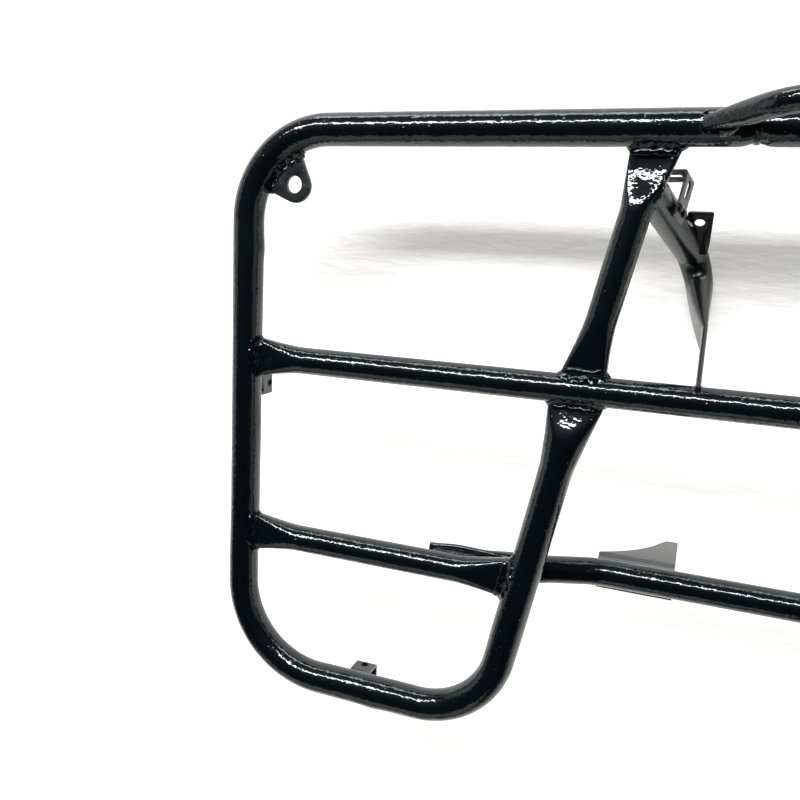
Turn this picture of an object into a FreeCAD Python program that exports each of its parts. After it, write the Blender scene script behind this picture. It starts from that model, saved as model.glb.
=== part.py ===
import FreeCAD
import Part
import math
import os
import Sketcher
from FreeCAD import Placement, Rotation, Vector

# Rear rack of an all-terrain vehicle, welded from bent steel tube.
# Millimetres, +Z up, +Y to the rear of the vehicle, origin on the ground under the middle of the rack.
# The rack stands on the bends of its two stays and on the tips of its two hanger brackets.
# Insets run inboard from the axis of the side rail, reaches run forward from the axis of the rear rail,
# and drops run down from the middle plane of the deck.

SIZES = {
    # Tubes
    "rail_od": 25.4,
    "bar_od": 22.2,
    "stay_od": 23.8,
    "grab_od": 16.0,
    "weld_gap": 0.25,
    # Deck
    "deck_height": 118.0,
    "half_width": 470.0,
    "middle_bar_reach": 183.0,
    "wing_bar_reach": 337.4,
    "front_run_reach": 462.5,
    "rear_corner_radius": 71.0,
    "front_corner_radius": 77.0,
    "inner_corner_radius": 69.0,
    "butt_joint_inset": 378.0,
    "leg_front_inset": 224.7,
    "leg_middle_inset": 279.9,
    "strut_rear_inset": 318.6,
    "strut_middle_inset": 279.6,
    # Flattened tube ends
    "bar_flare_length": 50.0,
    "bar_flare_width": 34.0,
    "bar_flare_thickness": 8.0,
    "leg_flare_length": 56.0,
    "leg_flare_width": 40.0,
    "leg_flare_thickness": 9.0,
    # Grab bar, in its own leaning plane
    "grab_end_half": 122.5,
    "grab_end_height": 5.0,
    "grab_knee_half": 74.8,
    "grab_height": 52.0,
    "grab_lean_angle": 10.0,
    "grab_bend_radius": 55.0,
    # Front cross tube
    "cross_drop": 48.0,
    "cross_knee_inset": 300.0,
    "cross_toe_inset": 216.0,
    "cross_end_inset": 168.0,
    "cross_bend_radius": 60.0,
    "cross_crush_length": 46.0,
    "cross_flat_width": 26.0,
    "cross_flat_thickness": 6.0,
    # Hanger brackets
    "hanger_inset": 299.0,
    "hanger_length": 60.0,
    "hanger_plate": 3.0,
    "hanger_fold_radius": 3.0,
    "hanger_web_front": 18.0,
    "hanger_foot_width": 8.0,
    "hanger_flange_reach": 8.0,
    "hanger_throat_depth": 18.0,
    "hanger_curve_radius": 90.0,
    # Stays
    "stay_top_inset": 313.0,
    "stay_top_reach": 39.0,
    "stay_foot_inset": 351.3,
    "stay_foot_reach": 90.7,
    "stay_blade_inset": 351.3,
    "stay_blade_length": 66.0,
    "stay_blade_thickness": 3.6,
    "stay_blade_width": 31.0,
    # Bolt tabs on the stays
    "tab_inset": 347.8,
    "tab_reach": 58.4,
    "tab_drop": 64.0,
    "tab_tilt": 43.0,
    "tab_plate": 3.0,
    "tab_hole": 7.2,
    "tab_half_width": 9.5,
    "tab_head": 10.0,
    "tab_length": 31.0,
    "tab_corner_radius": 2.0,
    # Slotted clips on the stays
    "clip_along_stay": 32.0,
    "clip_width": 15.0,
    "clip_plate": 1.6,
    "clip_foot": 7.0,
    "clip_leg": 28.0,
    "clip_arm": 25.0,
    "clip_fold_radius": 1.6,
    "slot_length": 14.0,
    "slot_width": 5.0,
    "rivet_pitch": 8.0,
    "rivet_shank": 4.0,
    "rivet_head": 7.2,
    "rivet_head_height": 2.2,
    "rivet_fit": 0.1,
    # Corner eyelets
    "eyelet_hole_inset": 30.0,
    "eyelet_hole": 14.0,
    "eyelet_plate": 4.0,
    "eyelet_nose": 13.5,
    "eyelet_nose_half": 8.9,
    "eyelet_nose_radius": 12.6,
    "eyelet_root_half": 23.3,
    "eyelet_root_reach": 20.4,
    # Fender clips
    "fender_clip_offset": 9.0,
    "fender_clip_plate": 2.5,
    "fender_clip_width": 18.0,
    "fender_clip_depth": 26.0,
    "fender_clip_foot": 16.0,
    "fender_clip_fold": 1.5,
    "fender_hole": 6.6,
    "fender_hole_drop": 18.6,
    "side_clip_reach": 208.5,
    "front_clip_inset": 112.5,
}

X_AXIS = Vector(1, 0, 0)
Y_AXIS = Vector(0, 1, 0)
Z_AXIS = Vector(0, 0, 1)
ALONG_X = Rotation(Y_AXIS, 90)
ALONG_Y = Rotation(X_AXIS, -90)
UPRIGHT = Rotation(X_AXIS, 90)

doc = FreeCAD.newDocument("RearRack")
sheet = doc.addObject("Spreadsheet::Sheet", "Sizes")
for row, (alias, number) in enumerate(SIZES.items(), start=1):
    sheet.set(f"A{row}", alias)
    sheet.set(f"B{row}", str(number))
    sheet.setAlias(f"B{row}", alias)
doc.recompute()


class Term:
    """A number together with the sheet expression that gives it."""

    def __init__(self, value, text):
        self.value = value
        self.text = text

    def __add__(self, other):
        other = term(other)
        return Term(self.value + other.value, f"({self.text} + {other.text})")

    def __sub__(self, other):
        other = term(other)
        return Term(self.value - other.value, f"({self.text} - {other.text})")

    def __mul__(self, other):
        other = term(other)
        return Term(self.value * other.value, f"({self.text} * {other.text})")

    def __truediv__(self, other):
        other = term(other)
        return Term(self.value / other.value, f"({self.text} / {other.text})")

    def __neg__(self):
        return Term(-self.value, f"(0 - {self.text})")


def term(amount):
    """Turns a plain number into a Term and leaves a Term as it is."""
    if isinstance(amount, Term):
        return amount
    return Term(float(amount), str(float(amount)))


def size(alias):
    """The sheet's cell of that name."""
    return Term(SIZES[alias], f"Sizes.{alias}")


def span(first, second):
    """Length of the diagonal over two sides."""
    length = math.hypot(first.value, second.value)
    return Term(length, f"hypot({first.text}; {second.text})")


def bind(item, path, amount):
    """Ties one property of an object to the sheet."""
    item.setExpression(path, term(amount).text)


def locate(item, base, rotation=None):
    """Places an object with its base point tied to the sheet."""
    corner = [term(amount) for amount in base]
    item.Placement = Placement(Vector(*[part.value for part in corner]), rotation or Rotation())
    for axis, part in zip("xyz", corner):
        bind(item, f"Placement.Base.{axis}", part)


def feature(kind, name, **links):
    """A new object of the document with its links set."""
    item = doc.addObject(kind, name)
    for key, value in links.items():
        setattr(item, key, value)
    return item


# Places that several pieces share

deck_z = size("deck_height")
side_x = -size("half_width")
grab_back = size("grab_height") * math.sin(math.radians(SIZES["grab_lean_angle"])) + size("grab_od") / 2
rear_y = (size("front_run_reach") + size("rail_od") / 2 - grab_back) / 2


def inset(amount):
    """X of a place that lies inboard of the left side rail."""
    return side_x + amount


def reach(amount):
    """Y of a place that lies forward of the rear rail."""
    return rear_y - amount


middle_y = reach(size("middle_bar_reach"))
wing_y = reach(size("wing_bar_reach"))
front_y = reach(size("front_run_reach"))
cross_z = deck_z - size("cross_drop")
leg_front_x = inset(size("leg_front_inset"))
leg_middle_x = inset(size("leg_middle_inset"))
leg_slope = (leg_middle_x - leg_front_x) / (middle_y - front_y)
leg_wing_x = leg_front_x + leg_slope * (wing_y - front_y)
strut_rear_x = inset(size("strut_rear_inset"))
strut_middle_x = inset(size("strut_middle_inset"))


# Sketching

def draw(sketch, corners, closed):
    """Draws straight runs through the corners, each corner rounded by its radius and tied to the sheet."""
    points = [Vector(term(x).value, term(y).value, 0) for x, y, _ in corners]
    count = len(points)
    inner = range(count) if closed else range(1, count - 1)
    enter, leave, arcs = list(points), list(points), {}
    for index in inner:
        radius = corners[index][2]
        if radius is None:
            continue
        corner = points[index]
        back = (points[index - 1] - corner).normalize()
        ahead = (points[(index + 1) % count] - corner).normalize()
        half = back.getAngle(ahead) / 2
        setback = radius.value / math.tan(half)
        enter[index] = corner + back * setback
        leave[index] = corner + ahead * setback
        centre = corner + (back + ahead).normalize() * (radius.value / math.sin(half))
        left_turn = ahead.cross(back).z > 0
        first, last = (enter[index], leave[index]) if left_turn else (leave[index], enter[index])
        start = math.atan2(first.y - centre.y, first.x - centre.x)
        end = math.atan2(last.y - centre.y, last.x - centre.x)
        circle = Part.Circle(centre, Z_AXIS, radius.value)
        arcs[index] = (sketch.addGeometry(Part.ArcOfCircle(circle, start, end)), left_turn)
    runs = []
    for index in range(count if closed else count - 1):
        after = (index + 1) % count
        runs.append(sketch.addGeometry(Part.LineSegment(leave[index], enter[after])))
    for index in range(count):
        x, y, radius = corners[index]
        if index in arcs:
            arc, left_turn = arcs[index]
            begin, finish = (1, 2) if left_turn else (2, 1)
            sketch.addConstraint(Sketcher.Constraint("Tangent", runs[index - 1], 2, arc, begin))
            sketch.addConstraint(Sketcher.Constraint("Tangent", arc, finish, runs[index], 1))
            fix(sketch, Sketcher.Constraint("Radius", arc, radius.value), radius)
            mark = (sketch.addGeometry(Part.Point(points[index]), True), 1)
            sketch.addConstraint(Sketcher.Constraint("PointOnObject", *mark, runs[index - 1]))
            sketch.addConstraint(Sketcher.Constraint("PointOnObject", *mark, runs[index]))
        elif index < len(runs):
            mark = (runs[index], 1)
            if closed or index > 0:
                sketch.addConstraint(Sketcher.Constraint("Coincident", runs[index - 1], 2, *mark))
        else:
            mark = (runs[index - 1], 2)
        pin(sketch, mark, x, y)


def fix(sketch, constraint, amount):
    """Adds a dimension to a sketch and ties it to the sheet."""
    index = sketch.addConstraint(constraint)
    bind(sketch, f"Constraints[{index}]", amount)


def pin(sketch, mark, x, y):
    """Fixes a point of a sketch at two distances from its origin."""
    fix(sketch, Sketcher.Constraint("DistanceX", -1, 1, *mark, term(x).value), x)
    fix(sketch, Sketcher.Constraint("DistanceY", -1, 1, *mark, term(y).value), y)


def ring(sketch, x, y, diameter):
    """Adds a round hole to a sketch."""
    radius = diameter / 2
    centre = Vector(term(x).value, term(y).value, 0)
    hole = sketch.addGeometry(Part.Circle(centre, Z_AXIS, radius.value))
    pin(sketch, (hole, 3), x, y)
    fix(sketch, Sketcher.Constraint("Radius", hole, radius.value), radius)


def slot(sketch, x, y, length, width):
    """Adds a slot with round ends along the sketch's first axis."""
    side = length / 2
    half = width / 2
    draw(sketch, [
        (x - side, y - half, half * 0.98),
        (x + side, y - half, half * 0.98),
        (x + side, y + half, half * 0.98),
        (x - side, y + half, half * 0.98),
    ], True)


def body_sketch(body, role, name):
    """A sketch on one of the body's own origin planes."""
    sketch = body.newObject("Sketcher::SketchObject", name)
    plane = next(item for item in body.Origin.OriginFeatures if item.Role == role)
    sketch.AttachmentSupport = (plane, [""])
    sketch.MapMode = "FlatFace"
    return sketch


def pad(body, sketch, length, midplane=False):
    """Raises a sketch into the body's material."""
    item = body.newObject("PartDesign::Pad", "Pad")
    item.Profile = sketch
    item.Length = length.value
    bind(item, "Length", length)
    item.SideType = "Symmetric" if midplane else "One side"
    return item


def pocket(body, sketch):
    """Cuts a sketch through the whole body, to both sides of its plane."""
    item = body.newObject("PartDesign::Pocket", "Pocket")
    item.Profile = sketch
    item.SideType = "Symmetric"
    item.Type = "ThroughAll"


# Tubes

def rod(name, diameter, length, base, rotation):
    """A straight round bar from its base point along the turned Z axis."""
    item = feature("Part::Cylinder", name)
    bind(item, "Radius", diameter / 2)
    bind(item, "Height", length)
    locate(item, base, rotation)
    return item


def sweep(name, sketch, diameter, base, rotation):
    """A round tube carried along a sketched path."""
    section = feature("Part::Circle", f"{name}_section")
    section.Radius = diameter.value / 2
    bind(section, "Radius", diameter / 2)
    locate(section, base, rotation)
    return feature("Part::Sweep", name, Sections=[section], Spine=(sketch, []), Solid=True, Frenet=False)


def flare(name, od, width, thickness, length, base, heading, flat, shift=0):
    """The flattened end of a tube: a cone that widens towards the root, pressed between two sloping flats.

    The root lies at the base and the round tube begins one length along the heading. The pressed end is
    moved by the shift towards the flat's normal.
    """
    cone = feature("Part::Cone", f"{name}_cone")
    bind(cone, "Radius1", width / 2)
    bind(cone, "Radius2", od / 2)
    bind(cone, "Height", length)
    cone.Placement = Placement(Vector(), ALONG_Y)
    round_half = od / 2 + size("weld_gap")
    press = feature("Part::Wedge", f"{name}_press")
    limits = {
        "Xmin": -width, "X2min": -width, "Xmax": width, "X2max": width,
        "Ymin": term(0), "Ymax": length,
        "Zmin": term(shift) - thickness / 2, "Zmax": term(shift) + thickness / 2,
        "Z2min": -round_half, "Z2max": round_half,
    }
    for side, amount in limits.items():
        setattr(press, side, amount.value)
        bind(press, side, amount)
    item = feature("Part::Common", name, Base=cone, Tool=press)
    locate(item, base, Rotation(heading.cross(flat), heading, flat, "YZX"))
    return item


def fuse(name, shapes):
    """Joins the stretches of one tube."""
    return feature("Part::MultiFuse", name, Shapes=shapes)


def cut(label, base, tools):
    """Takes the tools out of a piece one after another and gives the result its label."""
    for number, tool in enumerate(tools):
        base = feature("Part::Cut", f"{label}_cut{number}", Base=base, Tool=tool)
    base.Label = label
    return base


def mirror(left, label):
    """The right-hand twin of a left-hand piece."""
    twin = feature("Part::Mirroring", label, Source=left, Base=Vector(), Normal=X_AXIS)
    twin.Label = label
    return twin


def flattened_bar(label, start, end, tools):
    """A bar between two tube axes, both ends flattened and coped to the tubes they meet."""
    run_x = end[0] - start[0]
    run_y = end[1] - start[1]
    length = span(run_x, run_y)
    heading = Vector(run_x.value, run_y.value, 0).normalize()
    od = size("bar_od")
    flat = (size("bar_flare_width"), size("bar_flare_thickness"), size("bar_flare_length"))
    share = flat[2] / length
    middle_start = (start[0] + run_x * share, start[1] + run_y * share, deck_z)
    middle = rod(f"{label}_tube", od, length - flat[2] * 2, middle_start, Rotation(Z_AXIS, heading))
    near = flare(f"{label}_near", od, *flat, (*start, deck_z), heading, Z_AXIS)
    far = flare(f"{label}_far", od, *flat, (*end, deck_z), -heading, Z_AXIS)
    return cut(label, fuse(f"{label}_whole", [near, middle, far]), tools)


# Clearance rods round the tubes, for the copes of what is welded to them

clear = size("weld_gap") * 2
rail_clear = size("rail_od") + clear
bar_clear = size("bar_od") + clear
full_length = size("half_width") * 2
rear_space = rod("rear_space", rail_clear, full_length, (side_x, rear_y, deck_z), ALONG_X)
middle_space = rod("middle_space", bar_clear, full_length, (side_x, middle_y, deck_z), ALONG_X)
front_space = rod("front_space", rail_clear, full_length, (side_x, front_y, deck_z), ALONG_X)
side_space = rod("side_space", rail_clear, rear_y - front_y, (side_x, front_y, deck_z), ALONG_Y)
far_side_space = rod("far_side_space", rail_clear, rear_y - front_y, (-side_x, front_y, deck_z), ALONG_Y)
leg_heading = Vector((leg_middle_x - leg_front_x).value, (middle_y - front_y).value, 0).normalize()
leg_length = span(leg_middle_x - leg_front_x, middle_y - front_y)
leg_turn = Rotation(Z_AXIS, leg_heading)
leg_space = rod("leg_space", rail_clear, leg_length, (leg_front_x, front_y, deck_z), leg_turn)
strut_heading = Vector((strut_rear_x - strut_middle_x).value, (rear_y - middle_y).value, 0).normalize()
strut_round = span(strut_rear_x - strut_middle_x, rear_y - middle_y) - size("bar_flare_length")
strut_space = rod(
    "strut_space", bar_clear, strut_round, (strut_middle_x, middle_y, deck_z), Rotation(Z_AXIS, strut_heading)
)
strut_end_space = flare(
    "strut_end_space",
    bar_clear,
    size("bar_flare_width") + clear,
    size("bar_flare_thickness") + clear,
    size("bar_flare_length"),
    (strut_rear_x, rear_y, deck_z),
    -strut_heading,
    Z_AXIS,
)


def outer_rail():
    """Rear rail, side rail, front run and inner leg, bent from one tube."""
    od = size("rail_od")
    flare_length = size("leg_flare_length")
    round_share = term(1) - flare_length / leg_length
    path = feature("Sketcher::SketchObject", "outer_rail_path")
    locate(path, (0, 0, deck_z))
    joint_x = inset(size("butt_joint_inset"))
    draw(path, [
        (joint_x, rear_y, None),
        (side_x, rear_y, size("rear_corner_radius")),
        (side_x, front_y, size("front_corner_radius")),
        (leg_front_x, front_y, size("inner_corner_radius")),
        (
            leg_front_x + (leg_middle_x - leg_front_x) * round_share,
            front_y + (middle_y - front_y) * round_share,
            None,
        ),
    ], False)
    tube = sweep("outer_rail_tube", path, od, (joint_x, rear_y, deck_z), ALONG_X)
    flat = (size("leg_flare_width"), size("leg_flare_thickness"), flare_length)
    tip = flare("outer_rail_tip", od, *flat, (leg_middle_x, middle_y, deck_z), -leg_heading, Z_AXIS)
    return cut("left_outer_rail", fuse("outer_rail_whole", [tube, tip]), [middle_space])


def rear_centre_rail():
    """The straight tube between the two outer rails."""
    start = inset(size("butt_joint_inset") + size("weld_gap"))
    item = rod("rear_centre_rail", size("rail_od"), -start * 2, (start, rear_y, deck_z), ALONG_X)
    item.Label = "rear_centre_rail"
    return item


def grab_bar():
    """A hoop of thin tube that leans back from the rear rail, its ends coped to the top of the rail."""
    end_x = -size("grab_end_half")
    end_z = size("grab_end_height")
    knee_x = -size("grab_knee_half")
    top = size("grab_height")
    bend = size("grab_bend_radius")
    path = feature("Sketcher::SketchObject", "grab_bar_path")
    draw(path, [
        (end_x, end_z, None),
        (knee_x, top, bend),
        (-knee_x, top, bend),
        (-end_x, end_z, None),
    ], False)
    climb = Vector((knee_x - end_x).value, (top - end_z).value, 0).normalize()
    tube = sweep("grab_bar_tube", path, size("grab_od"), (end_x, end_z, 0), Rotation(Z_AXIS, climb))
    locate(tube, (0, rear_y, deck_z), Rotation(X_AXIS, 90 - SIZES["grab_lean_angle"]))
    return cut("grab_bar", tube, [rear_space])


def front_cross_tube():
    """A tube under the deck, both ends bent up and crushed flat against the wing bars."""
    od = size("bar_od")
    width = size("cross_flat_width")
    thickness = size("cross_flat_thickness")
    flat_z = deck_z - od / 2 - size("weld_gap") - thickness / 2
    knee_x = inset(size("cross_knee_inset"))
    toe_x = inset(size("cross_toe_inset"))
    end_x = inset(size("cross_end_inset"))
    slope = Vector((knee_x - toe_x).value, 0, (cross_z - flat_z).value).normalize()
    crush_length = size("cross_crush_length")
    share = crush_length / span(toe_x - knee_x, flat_z - cross_z)
    start_x = toe_x + (knee_x - toe_x) * share
    start_z = flat_z + (cross_z - flat_z) * share
    bend = size("cross_bend_radius")
    path = feature("Sketcher::SketchObject", "cross_tube_path")
    locate(path, (0, wing_y, 0), UPRIGHT)
    draw(path, [
        (start_x, start_z, None),
        (knee_x, cross_z, bend),
        (-knee_x, cross_z, bend),
        (-start_x, start_z, None),
    ], False)
    tube = sweep("cross_tube_run", path, od, (start_x, wing_y, start_z), Rotation(Z_AXIS, slope))
    flat_normal = slope.cross(Y_AXIS)
    pressed = (width - clear, thickness, crush_length)
    crush = flare("cross_tube_crush", od, *pressed, (toe_x, wing_y, flat_z), slope, flat_normal)
    toe = feature("Part::Box", "cross_tube_toe")
    bind(toe, "Length", toe_x - end_x + thickness / 4)
    bind(toe, "Width", width)
    bind(toe, "Height", thickness)
    locate(toe, (end_x, wing_y - width / 2, flat_z - thickness / 2))
    ends = [crush, toe, mirror(crush, "cross_tube_right_crush"), mirror(toe, "cross_tube_right_toe")]
    whole = fuse("cross_tube_whole", [tube, *ends])
    whole.Label = "front_cross_tube"
    return whole


def hanger_bracket():
    """A folded plate: a web under the cross tube, a fin behind it and a flange along the fin's inner edge."""
    plate = size("hanger_plate")
    fold = size("hanger_fold_radius")
    length = size("hanger_length")
    web_top = -(size("bar_od") / 2 + size("weld_gap"))
    fin_back = size("bar_od") / 2
    fin_front = fin_back - plate
    web_front = -size("hanger_web_front")
    web_low = web_top - plate
    foot_z = -cross_z
    body = feature("PartDesign::Body", "hanger_body")
    profile = body_sketch(body, "YZ_Plane", "hanger_profile")
    draw(profile, [
        (web_front, web_low, None),
        (fin_front, web_low, fold),
        (fin_front, foot_z, None),
        (fin_back, foot_z, None),
        (fin_back, web_top, fold + plate),
        (web_front, web_top, None),
    ], True)
    pad(body, profile, length)
    outline = body_sketch(body, "XZ_Plane", "hanger_outline")
    throat = web_low - size("weld_gap") * 2
    draw(outline, [
        (-plate, throat, None),
        (length / 2, throat - size("hanger_throat_depth"), size("hanger_curve_radius")),
        (length - size("hanger_foot_width"), foot_z - plate, None),
        (-plate, foot_z - plate, None),
    ], True)
    doc.recompute()
    pocket(body, outline)
    flange = body_sketch(body, "YZ_Plane", "hanger_flange")
    flange.AttachmentOffset = Placement(Vector(0, 0, (length - plate).value), Rotation())
    bind(flange, "AttachmentOffset.Base.z", length - plate)
    flange_front = -size("hanger_flange_reach")
    draw(flange, [
        (fin_back, foot_z, None),
        (fin_back, web_low - fold, None),
        (web_front + plate, web_low, None),
        (flange_front, foot_z, None),
    ], True)
    pad(body, flange, plate)
    locate(body, (inset(size("hanger_inset")), wing_y, cross_z))
    body.Label = "left_hanger_bracket"
    return body


# Stay route, shared by the stay and by what is fixed to it

stay_top = Vector(inset(size("stay_top_inset")).value, reach(size("stay_top_reach")).value, deck_z.value)
stay_knee = Vector(
    inset(size("stay_foot_inset")).value, reach(size("stay_foot_reach")).value, SIZES["stay_od"] / 2
)
blade_top = Vector(inset(size("stay_blade_inset")).value, middle_y.value, deck_z.value)
stay_down = (stay_knee - stay_top).normalize()
stay_up = (blade_top - stay_knee).normalize()


def stay():
    """A tube from the strut to its knee on the ground, then pressed into a blade up to the middle bar."""
    od = size("stay_od")
    thickness = size("stay_blade_thickness")
    width = size("stay_blade_width")
    gap = size("weld_gap")
    tube_length = term((stay_knee - stay_top).Length)
    tube = rod("stay_tube", od, tube_length, tuple(stay_top), Rotation(Z_AXIS, stay_down))
    knee = feature("Part::Sphere", "stay_knee")
    bind(knee, "Radius", od / 2)
    locate(knee, tuple(stay_knee))
    flat_normal = (X_AXIS - stay_up * X_AXIS.dot(stay_up)).normalize()
    flush = (od - thickness) / 2
    root = blade_top - stay_up * SIZES["stay_blade_length"]
    spread = span(width / 2 - gap, flush) * 2
    pressed = (spread, thickness, term((root - stay_knee).Length))
    crushed = flare("stay_press", od, *pressed, tuple(root), -stay_up, flat_normal, flush)
    blade = feature("Part::Box", "stay_blade")
    bind(blade, "Length", width)
    bind(blade, "Width", thickness)
    bind(blade, "Height", size("stay_blade_length") + thickness / 2)
    across = flat_normal.cross(stay_up)
    corner = root - stay_up * (thickness.value / 2) - across * (width.value / 2)
    corner += flat_normal * (flush - thickness / 2 - gap).value
    locate(blade, tuple(corner), Rotation(across, flat_normal, stay_up, "ZXY"))
    whole = fuse("stay_whole", [tube, knee, crushed, blade])
    return cut("left_stay", whole, [strut_space, strut_end_space, middle_space])


stay_space = rod(
    "stay_space",
    size("stay_od") + clear,
    term((stay_knee - stay_top).Length),
    tuple(stay_top),
    Rotation(Z_AXIS, stay_down),
)


def stay_tab():
    """A three-cornered plate with a bolt hole, welded along the stay."""
    plate = size("tab_plate")
    half = size("tab_half_width")
    head = size("tab_head")
    corner = size("tab_corner_radius")
    foot = -size("tab_length")
    body = feature("PartDesign::Body", "tab_body")
    outline = body_sketch(body, "XY_Plane", "tab_outline")
    draw(outline, [
        (-half, head, corner),
        (half, head, corner),
        (half - corner / 2, foot + half, None),
        (half - corner, foot, None),
        (-corner, foot, None),
    ], True)
    ring(outline, 0, 0, size("tab_hole"))
    pad(body, outline, plate, midplane=True)
    place = (inset(size("tab_inset")), reach(size("tab_reach")), deck_z - size("tab_drop"))
    locate(body, place, Rotation(X_AXIS, SIZES["tab_tilt"]))
    bind(body, "Placement.Rotation.Angle", size("tab_tilt"))
    return cut("left_stay_tab", body, [stay_space])


# Frame of the slotted clip: X away from the stay, Y to the rear, Z along the stay

clip_back = (Y_AXIS - stay_down * Y_AXIS.dot(stay_down)).normalize()
clip_out = stay_down.cross(clip_back)
if clip_out.x < 0:
    clip_out = -clip_out
clip_turn = Rotation(clip_out, clip_back, clip_out.cross(clip_back), "XYZ")
clip_spot = stay_top + stay_down * SIZES["clip_along_stay"]
clip_inner = size("stay_od") / 2 + size("weld_gap")
clip_outer = clip_inner + size("clip_plate")


def slotted_clip():
    """A strip folded square, with a slot in each leg and two rivet holes at its foot."""
    fold = size("clip_fold_radius")
    plate = size("clip_plate")
    foot = -size("clip_foot")
    leg = size("clip_leg")
    arm_end = clip_outer - size("clip_arm")
    body = feature("PartDesign::Body", "clip_body")
    profile = body_sketch(body, "XY_Plane", "clip_profile")
    draw(profile, [
        (clip_inner, foot, None),
        (clip_outer, foot, None),
        (clip_outer, leg, fold + plate),
        (arm_end, leg, None),
        (arm_end, leg - plate, None),
        (clip_inner, leg - plate, fold),
    ], True)
    pad(body, profile, size("clip_width"), midplane=True)
    doc.recompute()
    leg_holes = body_sketch(body, "YZ_Plane", "clip_leg_holes")
    slot(leg_holes, leg / 2 + plate, term(0), size("slot_length"), size("slot_width"))
    bore = size("rivet_shank") + size("rivet_fit") * 2
    ring(leg_holes, 0, size("rivet_pitch") / 2, bore)
    ring(leg_holes, 0, -size("rivet_pitch") / 2, bore)
    pocket(body, leg_holes)
    doc.recompute()
    arm_slot = body_sketch(body, "XZ_Plane", "clip_arm_slot")
    slot(arm_slot, (arm_end + clip_inner) / 2, term(0), size("slot_length"), size("slot_width"))
    pocket(body, arm_slot)
    locate(body, tuple(clip_spot), clip_turn)
    body.Label = "left_slotted_clip"
    return body


def clip_rivets():
    """The two rivets at the foot of the slotted clip."""
    pieces = []
    for number, side in enumerate((-1, 1)):
        z = size("rivet_pitch") / 2 * side
        shank_length = size("clip_plate") + size("weld_gap") - size("rivet_fit")
        start = clip_outer - shank_length
        shank = rod(f"rivet_shank{number}", size("rivet_shank"), shank_length, (start, 0, z), ALONG_X)
        head_place = ((clip_outer, 0, z), ALONG_X)
        head = rod(f"rivet_head{number}", size("rivet_head"), size("rivet_head_height"), *head_place)
        pieces.append(fuse(f"rivet{number}", [shank, head]))
    pair = feature("Part::Compound", "rivet_pair", Links=pieces)
    locate(pair, tuple(clip_spot), clip_turn)
    pair.Label = "left_clip_rivets"
    return pair


def corner_eyelet():
    """A drop-shaped plate with a lashing hole, welded into the bend of the rear corner."""
    radius = size("rear_corner_radius")
    bend_x = side_x + radius
    bend_y = rear_y - radius
    hole_at = radius - size("eyelet_hole_inset")
    nose = hole_at - size("eyelet_nose")
    root = hole_at + size("eyelet_root_reach")
    half = size("eyelet_nose_half")
    round_off = size("eyelet_nose_radius")
    body = feature("PartDesign::Body", "eyelet_body")
    outline = body_sketch(body, "XY_Plane", "eyelet_outline")
    draw(outline, [
        (root, -size("eyelet_root_half"), None),
        (root, size("eyelet_root_half"), None),
        (nose, half, round_off),
        (nose, -half, round_off),
    ], True)
    ring(outline, hole_at, 0, size("eyelet_hole"))
    pad(body, outline, size("eyelet_plate"), midplane=True)
    locate(body, (bend_x, bend_y, deck_z), Rotation(Z_AXIS, 135))
    bay = rod("corner_bay", radius * 2 - rail_clear, deck_z, (bend_x, bend_y, deck_z / 2), Rotation())
    trimmed = feature("Part::Common", "eyelet_trimmed", Base=body, Tool=bay)
    trimmed.Label = "left_corner_eyelet"
    return trimmed


def fender_clip(label, base, rotation, tool):
    """A folded strip under a rail, coped to it, with a bolt hole in its upright leg."""
    name = label.replace("left_", "")
    plate = size("fender_clip_plate")
    inner = size("fender_clip_offset")
    outer = inner + plate
    low = -size("fender_clip_depth")
    toe = outer - size("fender_clip_foot")
    fold = size("fender_clip_fold")
    body = feature("PartDesign::Body", f"{name}_body")
    profile = body_sketch(body, "YZ_Plane", f"{name}_profile")
    draw(profile, [
        (inner, 0, None),
        (inner, low + plate, fold),
        (toe, low + plate, None),
        (toe, low, None),
        (outer, low, fold + plate),
        (outer, 0, None),
    ], True)
    pad(body, profile, size("fender_clip_width"), midplane=True)
    doc.recompute()
    hole = body_sketch(body, "XZ_Plane", f"{name}_hole")
    ring(hole, 0, -size("fender_hole_drop"), size("fender_hole"))
    pocket(body, hole)
    locate(body, base, rotation)
    return cut(label, body, [tool])


rear_end = (strut_rear_x, rear_y)
lefts = [
    outer_rail(),
    flattened_bar("left_rear_strut", (strut_middle_x, middle_y), rear_end, [middle_space, rear_space]),
    flattened_bar("left_wing_bar", (side_x, wing_y), (leg_wing_x, wing_y), [side_space, leg_space]),
    hanger_bracket(),
    stay(),
    stay_tab(),
    slotted_clip(),
    clip_rivets(),
    corner_eyelet(),
    fender_clip(
        "left_side_clip",
        (side_x, reach(size("side_clip_reach")), deck_z),
        Rotation(Z_AXIS, -90),
        side_space,
    ),
    fender_clip(
        "left_front_clip",
        (inset(size("front_clip_inset")), front_y, deck_z),
        Rotation(),
        front_space,
    ),
]
middles = [
    rear_centre_rail(),
    grab_bar(),
    flattened_bar("middle_bar", (side_x, middle_y), (-side_x, middle_y), [side_space, far_side_space]),
    front_cross_tube(),
]
rights = [mirror(left, left.Label.replace("left_", "right_")) for left in lefts]
doc.recompute()

nodes = lefts + middles + rights
faults = [item.Name for item in doc.Objects if "Invalid" in item.State or "Error" in item.State]
for node in nodes:
    if node.Shape.isNull() or not node.Shape.isValid():
        faults.append(node.Label)
if faults:
    raise RuntimeError(f"these objects did not build: {faults}")

os.makedirs("parts", exist_ok=True)
for node in nodes:
    node.Shape.exportStep(f"parts/{node.Label}.step")
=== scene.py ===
import logging
import math
from dataclasses import dataclass, replace
from enum import Enum
from typing import Optional, Sequence

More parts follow.
